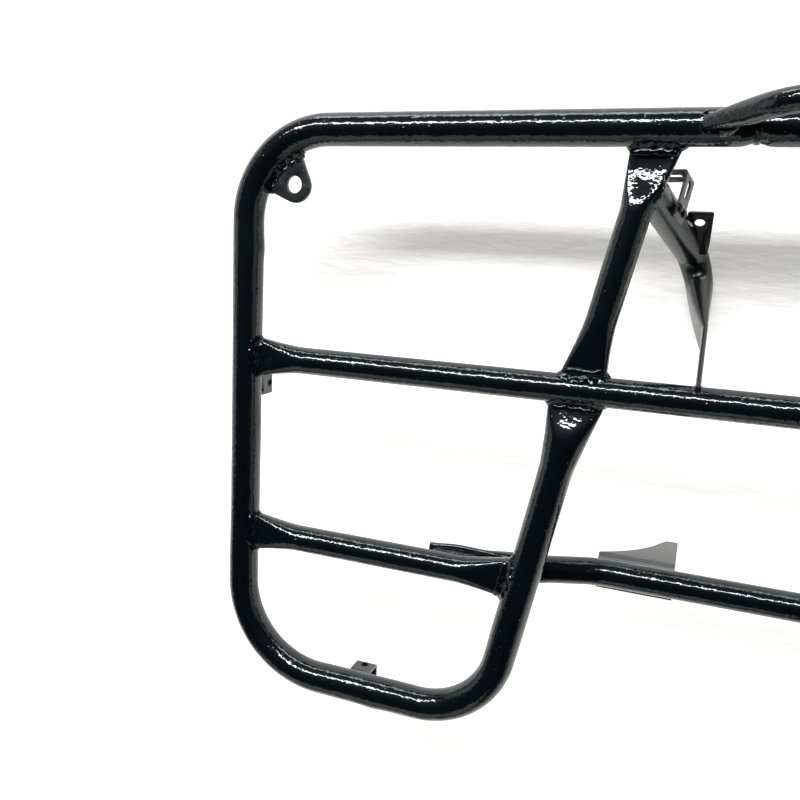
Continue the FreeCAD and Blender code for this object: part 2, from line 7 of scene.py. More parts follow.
import bmesh
import bpy
import numpy as np
from mathutils import Matrix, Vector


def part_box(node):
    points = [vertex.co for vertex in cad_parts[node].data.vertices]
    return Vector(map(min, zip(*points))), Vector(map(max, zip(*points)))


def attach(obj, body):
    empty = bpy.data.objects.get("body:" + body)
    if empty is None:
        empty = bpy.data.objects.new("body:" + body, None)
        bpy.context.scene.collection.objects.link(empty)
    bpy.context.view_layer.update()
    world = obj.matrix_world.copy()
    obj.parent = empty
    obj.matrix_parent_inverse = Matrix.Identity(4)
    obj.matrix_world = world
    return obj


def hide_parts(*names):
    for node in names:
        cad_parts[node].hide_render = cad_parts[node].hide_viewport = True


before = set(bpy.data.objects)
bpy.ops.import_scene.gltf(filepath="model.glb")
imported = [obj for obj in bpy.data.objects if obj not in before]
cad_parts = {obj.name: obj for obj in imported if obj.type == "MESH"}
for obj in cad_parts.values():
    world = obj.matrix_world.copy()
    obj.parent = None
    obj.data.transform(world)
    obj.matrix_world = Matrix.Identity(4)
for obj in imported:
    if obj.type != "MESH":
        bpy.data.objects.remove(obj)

# Dresses the rear rack of an all-terrain vehicle in thick gloss black paint over bent tube and
# weld beads. Lengths are millimetres in the row frame until a mesh is made: +X right, +Y to the
# rear, +Z up.

Array = np.ndarray
Point = tuple[float, float, float]
Colour = tuple[float, float, float]
Socket = bpy.types.NodeSocket

MM = 0.001
FULL_TURN = 2 * math.pi
BODY = "root"
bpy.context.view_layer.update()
LOG = logging.getLogger("rear_rack")
UP = np.array((0.0, 0.0, 1.0))
RIGHT = np.array((1.0, 0.0, 0.0))
REAR = np.array((0.0, 1.0, 0.0))
MIRROR = np.array((-1.0, 1.0, 1.0))


def unit(vector: Array) -> Array:
    """The vector or row of vectors at length one."""
    return vector / np.linalg.norm(vector, axis=-1, keepdims=True)


def across(vector: Array, along: Array) -> Array:
    """The share of a vector that stands square to a direction, at length one.

    Args:
        vector: One vector, repeated for every direction.
        along: Unit directions, one per row.

    Returns:
        One unit vector per direction.
    """
    return unit(vector - along * (along @ vector)[..., None])


def walked(line: Array) -> Array:
    """The length run so far at each point of a line."""
    return np.concatenate(((0.0,), np.cumsum(np.linalg.norm(np.diff(line, axis=0), axis=1))))


def at_lengths(line: Array, lengths: Array, places: Array) -> Array:
    """Values of a line at given places along it.

    Args:
        line: One row of values per point.
        lengths: The length run so far at each point.
        places: Lengths to read the line at.

    Returns:
        One row of values per place.
    """
    return np.stack([np.interp(places, lengths, column) for column in line.T], axis=1)


def squared_off(wave: Array, power: Array | float) -> Array:
    """A cosine or sine raised to a power with its sign kept, which squares off an ellipse."""
    return np.sign(wave) * np.abs(wave) ** power


class Press(Enum):
    """How a flattened end eases into the round tube: over a shoulder or down an even ramp."""

    SHOULDER = "shoulder"
    RAMP = "ramp"


class Half(Enum):
    """The half of the rack that a piece belongs to, as the start of its name.

    The left is drawn and the right mirrors it.
    """

    LEFT = "left_"
    RIGHT = "right_"
    BOTH = ""


# Finishes

PEBBLE_DETAIL = 0.6
WAVE_DETAIL = 1.0
PATCH_SCALE = 2.4
PATCH_DETAIL = 3.0
PATCH_RANGE = (0.3, 0.7)
NIB_EDGE = 0.16
PAINT_IOR = 1.5
GLINT_TINT = (0.86, 1.0, 0.98, 1.0)
WHITE = (1.0, 1.0, 1.0, 1.0)


class Wiring:
    """Short-hand for placing and linking the nodes of one material or of the world."""

    def __init__(self, owner: bpy.types.Material | bpy.types.World) -> None:
        """Clears the owner's nodes.

        Args:
            owner: The material or world that is wired.
        """
        owner.use_nodes = True
        self.owner = owner
        self.tree = owner.node_tree
        self.tree.nodes.clear()

    def add(self, kind: str, *values: object, **inputs: object) -> bpy.types.Node:
        """Adds a node and fills its inputs.

        Args:
            kind: Blender's name of the node type.
            values: Inputs in the node's order, each a value or the output to link.
            inputs: Socket names with spaces written as underscores, with the same.

        Returns:
            The new node.
        """
        node = self.tree.nodes.new(kind)
        named = [(node.inputs[key.replace("_", " ")], value) for key, value in inputs.items()]
        for socket, value in [*zip(node.inputs, values), *named]:
            if isinstance(value, Socket):
                self.tree.links.new(value, socket)
            else:
                socket.default_value = value
        return node

    def work(self, kind: str, operation: str, *values: object) -> Socket:
        """What a Math or Vector Math node makes of its values.

        Args:
            kind: Blender's name of the node type.
            operation: What the node does.
            values: Its inputs in order.

        Returns:
            The output that the operation uses.
        """
        node = self.add(kind, *values)
        node.operation = operation
        return next(output for output in node.outputs if output.enabled)

    def noise(self, place: Socket, grain: float, detail: float) -> Socket:
        """A cloudy value whose grains are about as wide as given, in millimetres."""
        scale = 1 / (grain * MM)
        return self.add("ShaderNodeTexNoise", Vector=place, Scale=scale, Detail=detail).outputs[0]

    def ramp(self, value: Socket, low: float, high: float, first: float, last: float) -> Socket:
        """The value's stretch between low and high, spread from first to last."""
        return self.add("ShaderNodeMapRange", value, low, high, first, last).outputs[0]

    def tint(self, value: Socket, low: Colour, high: Colour) -> Socket:
        """A colour that runs from low to high with the value.

        Args:
            value: What is read, from nought to one.
            low: Colour at nought.
            high: Colour at one.

        Returns:
            The colour's output.
        """
        node = self.add("ShaderNodeValToRGB", Fac=value)
        for stop, colour in zip(node.color_ramp.elements, (low, high)):
            stop.color = (*colour, 1.0)
        return node.outputs[0]


@dataclass(frozen=True)
class Paint:
    """Thick gloss paint with a pebbled skin, slow waves from runs and sags, and dust nibs.

    The veil is a faint dull film over the gloss.
    """

    name: str
    slot: str
    shade: Colour
    bloom: Colour
    gloss: float
    haze: float
    pebble_grain: float = 2.3
    pebble_depth: float = 0.19
    wave_grain: float = 14.0
    wave_depth: float = 0.45
    nib_grain: float = 5.5
    nib_depth: float = 0.24
    veil: float = 0.0
    veil_haze: float = 0.40

    def material(self) -> bpy.types.Material:
        """The paint's material, made once.

        Returns:
            A node material that reads Object coordinates.
        """
        made = bpy.data.materials.get(self.name)
        if made is not None:
            return made
        wiring = Wiring(bpy.data.materials.new(self.name))
        place = wiring.add("ShaderNodeTexCoord").outputs["Object"]
        pebbles = wiring.noise(place, self.pebble_grain, PEBBLE_DETAIL)
        waves = wiring.noise(place, self.wave_grain, WAVE_DETAIL)
        patches = wiring.noise(place, self.wave_grain * PATCH_SCALE, PATCH_DETAIL)
        cells = 1 / (self.nib_grain * MM)
        specks = wiring.add("ShaderNodeTexVoronoi", Vector=place, Scale=cells).outputs[0]
        nibs = wiring.ramp(specks, 0.0, NIB_EDGE, 1.0, 0.0)
        normal: dict[str, Socket] = {}
        for height, depth in (
            (waves, self.wave_depth),
            (pebbles, self.pebble_depth),
            (nibs, self.nib_depth),
        ):
            bump = wiring.add(
                "ShaderNodeBump", Strength=1.0, Distance=depth * MM, Height=height, **normal
            )
            normal = {"Normal": bump.outputs[0]}
        shader = wiring.add(
            "ShaderNodeBsdfPrincipled",
            Base_Color=wiring.tint(patches, self.shade, self.bloom),
            Roughness=wiring.ramp(patches, *PATCH_RANGE, self.gloss, self.haze),
            IOR=PAINT_IOR,
            Specular_Tint=GLINT_TINT,
            Coat_Weight=self.veil,
            Coat_Roughness=self.veil_haze,
            **normal,
        )
        wiring.add("ShaderNodeOutputMaterial", Surface=shader.outputs[0])
        return wiring.owner


TUBE_PAINT = Paint(
    "gloss_black_tube_paint", "tube_paint",
    (0.0004, 0.0022, 0.0042), (0.0012, 0.0036, 0.0060), 0.03, 0.07, veil=0.12,
)
WELD_PAINT = Paint(
    "gloss_black_weld_paint", "tube_paint",
    (0.0004, 0.0020, 0.0038), (0.0014, 0.0034, 0.0052), 0.03, 0.08,
    pebble_grain=2.6, pebble_depth=0.60, wave_grain=6.0, wave_depth=0.50,
)
STAY_PAINT = Paint(
    "satin_black_stay_paint", "tube_paint",
    (0.0040, 0.0044, 0.0048), (0.0090, 0.0092, 0.0095), 0.18, 0.30,
    pebble_depth=0.04, wave_grain=20.0, wave_depth=0.30, nib_depth=0.05,
)
EYELET_PAINT = Paint(
    "dull_black_eyelet_paint", "tube_paint",
    (0.0050, 0.0075, 0.0075), (0.0170, 0.0210, 0.0205), 0.22, 0.42,
    wave_grain=5.0, wave_depth=0.20,
)
PLATE_PAINT = Paint(
    "black_bracket_paint", "bracket_paint",
    (0.0016, 0.0024, 0.0030), (0.0060, 0.0072, 0.0078), 0.10, 0.24,
    pebble_grain=2.0, pebble_depth=0.03, wave_depth=0.10,
)
TAB_PAINT = Paint(
    "dark_primer_red_bracket_paint", "bracket_paint",
    (0.0012, 0.0008, 0.0010), (0.0150, 0.0036, 0.0042), 0.10, 0.24,
    pebble_grain=1.6, pebble_depth=0.03, wave_depth=0.08,
)
# The clip's base colour is lifted to grey as a painted reflection of the white floor in its faces.
CLIP_PAINT_WITH_PAINTED_REFLECTION = Paint(
    "clip_paint_with_painted_reflection", "bracket_paint",
    (0.018, 0.020, 0.021), (0.050, 0.050, 0.050), 0.20, 0.38,
    pebble_grain=1.6, pebble_depth=0.03, wave_depth=0.06,
)
# The hanger's base colour is lifted to grey as a painted reflection of the wall and floor behind
# the rack.
HANGER_PAINT_WITH_PAINTED_REFLECTION = Paint(
    "hanger_paint_with_painted_reflection", "bracket_paint",
    (0.030, 0.032, 0.032), (0.080, 0.080, 0.078), 0.26, 0.42,
    pebble_grain=1.6, pebble_depth=0.03, wave_depth=0.06,
)
RIVET_PAINT = Paint(
    "black_rivet_paint", "rivet_paint",
    (0.0006, 0.0008, 0.0010), (0.0030, 0.0030, 0.0030), 0.12, 0.28,
    pebble_grain=1.0, pebble_depth=0.02, wave_grain=5.0, wave_depth=0.04,
)


# Meshes


@dataclass(frozen=True)
class Skin:
    """A surface given as a grid of points, rows along a line and columns around it."""

    points: Array
    ring: bool = False

    def mirrored(self) -> "Skin":
        """The surface on the other half, its columns turned round so that it still faces out."""
        return Skin(self.points[:, ::-1] * MIRROR, self.ring)

    def faces(self, first: int) -> tuple[Array, Array, Array]:
        """Corner points, quads and closing triangles of the surface.

        Columns always close on themselves. Rows close on themselves in a ring, and otherwise both
        ends are shut by a fan of triangles round the mean of the end row.

        Args:
            first: Index that the first corner gets.

        Returns:
            Points, quads and triangles, with indices counted from first.
        """
        rows, columns = self.points.shape[:2]
        index = first + np.arange(rows * columns).reshape(rows, columns)
        turned = np.roll(index, -1, axis=1)
        upper = np.roll(index, -1, axis=0) if self.ring else index[1:]
        upper_turned = np.roll(upper, -1, axis=1)
        lower, lower_turned = (index, turned) if self.ring else (index[:-1], turned[:-1])
        quads = np.stack((lower, lower_turned, upper_turned, upper), axis=-1).reshape(-1, 4)
        corners = self.points.reshape(-1, 3)
        if self.ring:
            return corners, quads, np.zeros((0, 3), int)
        poles = self.points[[0, -1]].mean(axis=1)
        near = np.full(columns, first + rows * columns)
        start = np.stack((near, turned[0], index[0]), axis=-1)
        finish = np.stack((near + 1, index[-1], turned[-1]), axis=-1)
        return np.vstack((corners, poles)), quads, np.vstack((start, finish))


def finish_piece(
    name: str, mesh: bpy.types.Mesh, paint: Paint, nodes: Sequence[str]
) -> bpy.types.Object:
    """Puts a mesh into the scene, paints it and ties it to the frame.

    Args:
        name: The piece's name.
        mesh: Its mesh, in place.
        paint: Its finish.
        nodes: CAD nodes that it stands for.

    Returns:
        The new object.
    """
    piece = bpy.data.objects.new(name, mesh)
    bpy.context.scene.collection.objects.link(piece)
    mesh.materials.clear()
    mesh.materials.append(paint.material())
    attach(piece, BODY)
    if nodes:
        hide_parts(*nodes)
    LOG.info("%s: %d faces, %s", name, len(mesh.polygons), paint.name)
    return piece


@dataclass(frozen=True)
class Piece:
    """A piece made from surfaces, those of the left half or of the whole.

    Its name and that of the CAD node that it stands for leave out the half.
    """

    name: str
    skins: Sequence[Skin]
    paint: Paint
    node: str = ""

    def lay(self, half: Half) -> None:
        """Makes the piece's mesh and hands it to the frame.

        Args:
            half: RIGHT mirrors the surfaces.
        """
        corners: list[Array] = []
        quads: list[Array] = []
        triangles: list[Array] = []
        count = 0
        for skin in self.skins:
            shown = skin.mirrored() if half is Half.RIGHT else skin
            points, fours, threes = shown.faces(count)
            corners.append(points)
            quads.append(fours)
            triangles.append(threes)
            count += len(points)
        name = half.value + self.name
        mesh = bpy.data.meshes.new(name)
        faces = np.vstack(quads).tolist() + np.vstack(triangles).tolist()
        mesh.from_pydata((np.vstack(corners) * MM).tolist(), [], faces)
        mesh.polygons.foreach_set("use_smooth", np.ones(len(faces), bool))
        mesh.update()
        finish_piece(name, mesh, self.paint, [half.value + self.node] if self.node else [])


# Tubes


@dataclass(frozen=True)
class Route:
    """A tube's axis: straight runs through corner points, each inner corner rounded."""

    corners: Sequence[Array]
    radii: Sequence[float] = ()
    step: float = 3.0
    least_in_bend: int = 6
    least_in_run: int = 2

    def sample(self) -> tuple[Array, Array, Array]:
        """Stations along the axis.

        A run is start + t (end - start). A bend is centre + R (sin a before - cos a inward), with
        the angle a from nought to the turn, where before is the heading into the bend and inward
        points at its centre.

        Returns:
            Points, unit headings and the length run so far, one row per station.
        """
        points = np.array(self.corners, float)
        headings = unit(np.diff(points, axis=0))
        places: list[Array] = []
        courses: list[Array] = []
        start = points[0]
        bends = zip(points[1:-1], self.radii, headings[:-1], headings[1:])
        for corner, radius, before, after in bends:
            turn = math.acos(float(np.clip(before @ after, -1.0, 1.0)))
            setback = radius * math.tan(turn / 2)
            enter = corner - before * setback
            inward = unit(after - before * (before @ after))
            self._run(start, enter, before, places, courses)
            count = max(self.least_in_bend, int(radius * turn / self.step))
            angle = np.linspace(0.0, turn, count, endpoint=False)[:, None]
            centre = enter + inward * radius
            places.append(centre + radius * (np.sin(angle) * before - np.cos(angle) * inward))
            courses.append(np.cos(angle) * before + np.sin(angle) * inward)
            start = corner + after * setback
        self._run(start, points[-1], headings[-1], places, courses)
        axis = np.vstack((*places, points[-1:]))
        return axis, np.vstack((*courses, headings[-1:])), walked(axis)

    def _run(
        self, start: Array, end: Array, heading: Array, places: list[Array], courses: list[Array]
    ) -> None:
        """Adds the stations of one straight run, without its last point.

        Args:
            start: First point of the run.
            end: Its last point.
            heading: Its unit direction.
            places: Points so far, added to.
            courses: Headings so far, added to.
        """
        count = max(self.least_in_run, int(np.linalg.norm(end - start) / self.step))
        share = np.linspace(0.0, 1.0, count, endpoint=False)[:, None]
        places.append(start + share * (end - start))
        courses.append(np.repeat(heading[None], count, axis=0))


@dataclass(frozen=True)
class FlatEnd:
    """A tube end pressed flat: fully over the hold, then easing into the round tube."""

    width: float
    thickness: float
    length: float
    hold: float = 0.0
    shift: float = 0.0
    ease: float = 1.35
    spread: float = 1.1
    dip: float = 0.22
    press: Press = Press.RAMP
    flare: float = 0.0

    def widen(self, distance: Array) -> Array:
        """How far the tube is spread: (1 - share of the flared length) raised to the spread."""
        reach = self.flare or self.hold + self.length
        return (1.0 - np.clip(distance / reach, 0.0, 1.0)) ** self.spread

    def flatten(self, distance: Array) -> Array:
        """How far the tube is pressed, one at the root and nought where it is round.

        With t the share of the length past the hold, a ramp is (1 - t) raised to the ease and a
        shoulder is 1 - 3 t^2 + 2 t^3.

        Args:
            distance: Lengths from the root.

        Returns:
            One share per length.
        """
        share = np.clip((distance - self.hold) / self.length, 0.0, 1.0)
        if self.press is Press.RAMP:
            return (1.0 - share) ** self.ease
        return 1.0 - share * share * (3.0 - 2.0 * share)


LEG_TIP = FlatEnd(44.0, 9.0, 34.0, hold=5.0, dip=0.35, press=Press.SHOULDER, flare=62.0)


@dataclass(frozen=True)
class Dent:
    """A place where the bender's shoe left the tube a little out of line."""

    at: float
    spread: float
    push: float = 0.0
    squeeze: float = 0.0
    neck: float = 0.0


@dataclass(frozen=True)
class Tube:
    """A round tube carried along a route, with ends that may be pressed flat."""

    route: Route
    radius: float
    normal: Array
    near: Optional[FlatEnd] = None
    far: Optional[FlatEnd] = None
    dents: Sequence[Dent] = ()
    sides: int = 56
    round_power: float = 2.0
    pressed_power: float = 1.8
    dip_power: int = 4

    def skin(self) -> Skin:
        """The tube's surface.

        Round each station runs a superellipse: a |cos t|^(2/n) to the side and b |sin t|^(2/n)
        towards the flat's normal, each with its sign, with a = b = radius and n = 2 on the round
        tube. A press takes a to half the width, b to half the thickness and n to 3.8, and sinks
        the middle of both flats by the dip. A dent is a bell along the tube.

        Returns:
            Rows along the route and columns round it.
        """
        axis, heading, along = self.route.sample()
        flat = across(self.normal, heading)
        side = np.cross(flat, heading)
        wide = np.full(len(along), self.radius)
        thick = wide.copy()
        power = np.full(len(along), self.round_power)
        dip = np.zeros(len(along))
        lift = np.zeros(len(along))
        for end, distance in ((self.near, along), (self.far, along[-1] - along)):
            if end is None:
                continue
            press = end.flatten(distance)
            wide = wide + (end.width / 2 - self.radius) * end.widen(distance)
            thick = thick + (end.thickness / 2 - self.radius) * press
            power = power + self.pressed_power * press
            dip = dip + end.dip * press
            lift = lift + end.shift * press
        for dent in self.dents:
            bell = np.exp(-(((along - dent.at) / dent.spread) ** 2))
            axis = axis + side * (dent.push * bell)[:, None]
            wide = wide - (dent.squeeze + dent.neck) * bell
            thick = thick - dent.neck * bell
        angle = np.linspace(0.0, FULL_TURN, self.sides, endpoint=False)
        cosine, sine = np.cos(angle)[None], np.sin(angle)[None]
        bend = (2.0 / power)[:, None]
        out = squared_off(cosine, bend) * wide[:, None]
        sunk = 1.0 - dip[:, None] * sine ** self.dip_power
        rise = squared_off(sine, bend) * thick[:, None] * sunk + lift[:, None]
        points = axis[:, None] + side[:, None] * out[..., None] + flat[:, None] * rise[..., None]
        return Skin(points)


# Weld beads


@dataclass(frozen=True)
class Bead:
    """A weld bead: a lumpy roll laid along a line by hand and drowned in paint.

    The normal is one direction or one per point of the line. The bead is as wide as its width
    square to the normal and stands as high as its height.
    """

    line: Array
    width: float
    height: float
    seed: int
    normal: Array
    ring: bool = False
    pitch: float = 6.5
    step: float = 0.9
    least_stations: int = 12
    sides: int = 24
    ripple: float = 0.05
    drift: float = 0.9
    drift_waves: Sequence[int] = (1, 2, 3, 5)
    lumps: float = 0.11
    lump_waves: int = 12
    lump_length: float = 6.0
    least_crests: int = 3
    lobes: int = 3
    phases: float = 6.28
    end_power: int = 8
    end_least: float = 0.02
    end_root: float = 0.25

    def skin(self) -> Skin:
        """The bead's surface.

        The line is walked in even steps. Its section is an ellipse scaled by one plus ripple plus
        lumps: the ripple is a cosine of the pitch with a wandering phase, and the lumps are a sum
        of cosines m s + n t + phase with whole m and n, so that a ring closes. The ends of an open
        bead die away as the fourth root of one minus the eighth power of the distance from its
        middle.

        Returns:
            Rows along the bead and columns round it.
        """
        line, guide = self.line, np.broadcast_to(self.normal, self.line.shape)
        if self.ring:
            line, guide = (np.vstack((rows, rows[:1])) for rows in (line, guide))
        lengths = walked(line)
        total = lengths[-1]
        count = max(self.least_stations, int(total / self.step))
        share = np.linspace(0.0, 1.0, count, endpoint=not self.ring)
        axis = at_lengths(line, lengths, share * total)
        normal = at_lengths(guide, lengths, share * total)
        if self.ring:
            heading = unit(np.roll(axis, -1, axis=0) - np.roll(axis, 1, axis=0))
        else:
            heading = unit(np.gradient(axis, axis=0))
        first = unit(normal - heading * np.sum(normal * heading, axis=1, keepdims=True))
        second = np.cross(first, heading)
        angle = np.linspace(0.0, FULL_TURN, self.sides, endpoint=False)
        chance = np.random.default_rng(self.seed)
        turns = max(1, round(total / self.pitch))
        wander = sum(
            self.drift / wave * np.cos(FULL_TURN * wave * share + chance.uniform(0, self.phases))
            for wave in self.drift_waves
        )
        swell = self.ripple * np.cos(FULL_TURN * turns * share + wander)[:, None]
        swell = swell + np.ones((count, len(angle)))
        strength = self.lumps / math.sqrt(self.lump_waves / 2)
        for _ in range(self.lump_waves):
            wave = chance.integers(1, max(self.least_crests, int(total / self.lump_length)))
            lobe = chance.integers(0, self.lobes)
            phase = chance.uniform(0, self.phases)
            swell += strength * np.cos(FULL_TURN * wave * share[:, None] + lobe * angle + phase)
        if not self.ring:
            fade = np.maximum(1 - (2 * share - 1) ** self.end_power, self.end_least)
            swell = swell * fade[:, None] ** self.end_root
        out = (np.cos(angle) * swell * self.width)[..., None]
        rise = (np.sin(angle) * swell * self.height)[..., None]
        return Skin(axis[:, None] + second[:, None] * out + first[:, None] * rise, self.ring)


@dataclass(frozen=True)
class Seat:
    """The end of a bar on the wall of a round tube, for the weld round it."""

    root: Array
    heading: Array
    normal: Array
    half_width: float
    half_thickness: float
    tube_point: Array
    tube_heading: Array
    tube_radius: float
    lean: float = 1.0
    stations: int = 96
    oval_power: float = 0.75

    def weld(
        self, width: float, height: float, seed: int, span: Optional[tuple[float, float]] = None
    ) -> Skin:
        """The fillet along the line where the bar's wall meets the tube's wall.

        A point of the bar's oval section slides along the bar until its distance from the tube's
        axis is the tube's radius, which is the larger root of a quadratic in the distance slid.
        The fillet's normal is the way out from the bar's axis, leant over along the bar: by half
        a right angle where the lean is one.

        Args:
            width: Half the fillet's width.
            height: Half its height.
            seed: Seed of its lumps.
            span: First and last angle of a fillet that doesn't go all round, in degrees from the
                section's side.

        Returns:
            The surface of a closed bead, or of an open one where a span is given.
        """
        flat = unit(self.normal - self.heading * (self.normal @ self.heading))
        side = np.cross(flat, self.heading)
        first, last = np.radians(span or (0.0, 360.0))
        angle = np.linspace(first, last, self.stations, endpoint=span is not None)[:, None]
        cosine, sine = np.cos(angle), np.sin(angle)
        reach = squared_off(cosine, self.oval_power) * self.half_width * side
        reach = reach + squared_off(sine, self.oval_power) * self.half_thickness * flat
        start = self.root + reach - self.tube_point
        square = start - (start @ self.tube_heading)[:, None] * self.tube_heading
        slide = self.heading - (self.heading @ self.tube_heading) * self.tube_heading
        squared = slide @ slide
        cross = square @ slide
        apart = np.sum(square * square, axis=1) - self.tube_radius ** 2
        distance = (np.sqrt(np.maximum(cross ** 2 - squared * apart, 0.0)) - cross) / squared
        line = self.root + reach + distance[:, None] * self.heading
        outward = unit(cosine / self.half_width * side + sine / self.half_thickness * flat)
        normal = outward + self.lean * self.heading
        return Bead(line, width, height, seed, normal, ring=span is None).skin()


# Plates

MERGE_DISTANCE = 1e-6
FLAT_ANGLE = math.radians(0.5)
CREASE_ANGLE = math.radians(32)
BEVEL_ANGLE = math.radians(40)
BEVEL_SEGMENTS = 2


@dataclass(frozen=True)
class HoledPlate:
    """A flat plate with a rounded outline and one round hole, set out round the hole's middle."""

    corners: Sequence[tuple[float, float]]
    radii: Sequence[float]
    hole: float
    thickness: float
    centre: Array
    side: Array
    ahead: Array
    edge: float = 0.6
    stations: int = 160
    arc_stations: int = 16
    edge_stations: int = 5

    def outline(self) -> Array:
        """The plate's rim: the corners joined by straight runs, each rounded by an arc.

        Between its first and last radius an arc is (sin((1 - t) a) first + sin(t a) last) / sin a,
        with a the angle that it sweeps.

        Returns:
            Points at even steps along the rim.
        """
        points = np.array(self.corners, float)
        neighbours = np.roll(points, 1, axis=0), np.roll(points, -1, axis=0)
        share = np.linspace(0.0, 1.0, self.arc_stations)[:, None]
        parts: list[Array] = []
        for corner, before, after, radius in zip(points, *neighbours, self.radii):
            back, ahead = unit(before - corner), unit(after - corner)
            half = math.acos(float(np.clip(back @ ahead, -1.0, 1.0))) / 2
            middle = corner + unit(back + ahead) * radius / math.sin(half)
            first = corner + back * radius / math.tan(half) - middle
            last = corner + ahead * radius / math.tan(half) - middle
            sweep = math.pi - 2 * half
            arc = np.sin((1 - share) * sweep) * first + np.sin(share * sweep) * last
            parts.append(middle + arc / math.sin(sweep))
        rim = np.vstack((*parts, parts[0][:1]))
        lengths = walked(rim)
        even = np.linspace(0.0, lengths[-1], self.stations, endpoint=False)
        return at_lengths(rim, lengths, even)

    def skin(self) -> Skin:
        """The plate's surface.

        From each rim point a section runs straight to the hole's middle: over the upper face from
        hole to rim, down the rim, back under the lower face and up the hole's wall, with the four
        edges rounded by arcs.

        Returns:
            Rows round the rim and columns round the section.
        """
        rim = self.outline()
        bearing = unit(rim)
        depth = np.linalg.norm(rim, axis=1) - self.hole / 2
        soft = self.edge
        shoulder = self.thickness / 2 - soft
        turn = np.linspace(0.0, math.pi / 2, self.edge_stations)
        upper = np.concatenate((soft - soft * np.cos(turn), -soft + soft * np.sin(turn)))
        share = np.concatenate((np.zeros(len(turn)), np.ones(len(turn))))
        level = np.concatenate((shoulder + soft * np.sin(turn), shoulder + soft * np.cos(turn)))
        offset = np.concatenate((upper, upper[::-1]))
        share = np.concatenate((share, share[::-1]))
        level = np.concatenate((level, -level[::-1]))
        reach = self.hole / 2 + share[None] * depth[:, None] + offset[None]
        flat = bearing[:, None] * reach[..., None]
        normal = np.cross(self.side, self.ahead)
        points = flat[..., :1] * self.side + flat[..., 1:] * self.ahead
        return Skin(self.centre + points + level[None, :, None] * normal, True)


@dataclass(frozen=True)
class Bracket:
    """A folded bracket: the faces of its CAD node, merged, with softened edges.

    The node's name leaves out the half.
    """

    node: str
    paint: Paint
    soften: float

    def lay(self, half: Half) -> None:
        """Lays the piece over its node.

        Args:
            half: The half that the bracket stands on.
        """
        node = half.value + self.node
        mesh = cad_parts[node].data.copy()
        work = bmesh.new()
        work.from_mesh(mesh)
        bmesh.ops.remove_doubles(work, verts=work.verts, dist=MERGE_DISTANCE)
        bmesh.ops.dissolve_limit(
            work, angle_limit=FLAT_ANGLE, verts=work.verts, edges=work.edges
        )
        work.to_mesh(mesh)
        work.free()
        mesh.shade_smooth()
        mesh.set_sharp_from_angle(angle=CREASE_ANGLE)
        piece = finish_piece(f"{node}_plate", mesh, self.paint, [node])
        bevel = piece.modifiers.new("softened edges", "BEVEL")
        bevel.width = self.soften * MM
        bevel.segments = BEVEL_SEGMENTS
        bevel.limit_method = "ANGLE"
        bevel.angle_limit = BEVEL_ANGLE
        bevel.harden_normals = False


def lay_halves(*pieces: Piece | Bracket) -> None:
    """Lays pieces on the left half and then on the right.

    Args:
        pieces: The pieces in the order in which they are laid.
    """
    for half in (Half.LEFT, Half.RIGHT):
        for piece in pieces:
            piece.lay(half)


# The rack


def box_of(node: str) -> tuple[Array, Array]:
    """Lowest and highest corner of a CAD node."""
    low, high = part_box(node)
    return np.array(low) / MM, np.array(high) / MM


@dataclass(frozen=True)
class Layout:
    """Places that the rack's pieces share, read from the frame's nodes."""

    deck_z: float
    rear_y: float
    middle_y: float
    wing_y: float
    front_y: float
    side_x: float
    cross_z: float
    rail_radius: float
    bar_radius: float = 11.1
    leg_front_inset: float = 224.7
    leg_middle_inset: float = 279.9
    strut_rear_inset: float = 318.6
    strut_middle_inset: float = 279.6

    @classmethod
    def from_frame(cls) -> "Layout":
        """Measures the tubes' axes on the boxes of the CAD nodes.

        Returns:
            The layout of the loaded frame.
        """
        rail_low, rail_high = box_of("rear_centre_rail")
        outer_low, _ = box_of("left_outer_rail")
        middle_low, middle_high = box_of("middle_bar")
        cross_low, cross_high = box_of("front_cross_tube")
        radius = (rail_high[2] - rail_low[2]) / 2
        return cls(
            deck_z=(rail_low[2] + rail_high[2]) / 2,
            rear_y=(rail_low[1] + rail_high[1]) / 2,
            middle_y=(middle_low[1] + middle_high[1]) / 2,
            wing_y=(cross_low[1] + cross_high[1]) / 2,
            front_y=outer_low[1] + radius,
            side_x=outer_low[0] + radius,
            cross_z=cross_low[2] + cls.bar_radius,
            rail_radius=radius,
        )

    def spot(self, inset: float, y: float, drop: float = 0.0) -> Array:
        """A place inboard of the left side rail and below the deck's middle plane."""
        return np.array((self.side_x + inset, y, self.deck_z - drop))

    @property
    def leg_front(self) -> Array:
        """Corner where the front run turns into the inner leg."""
        return self.spot(self.leg_front_inset, self.front_y)

    @property
    def leg_middle(self) -> Array:
        """Root of the inner leg on the middle bar."""
        return self.spot(self.leg_middle_inset, self.middle_y)

    @property
    def leg_wing(self) -> Array:
        """Root of the wing bar on the inner leg."""
        share = (self.wing_y - self.front_y) / (self.middle_y - self.front_y)
        return self.leg_front + share * (self.leg_middle - self.leg_front)

    @property
    def strut_rear(self) -> Array:
        """Root of the strut on the rear rail."""
        return self.spot(self.strut_rear_inset, self.rear_y)

    @property
    def strut_middle(self) -> Array:
        """Root of the strut on the middle bar."""
        return self.spot(self.strut_middle_inset, self.middle_y)


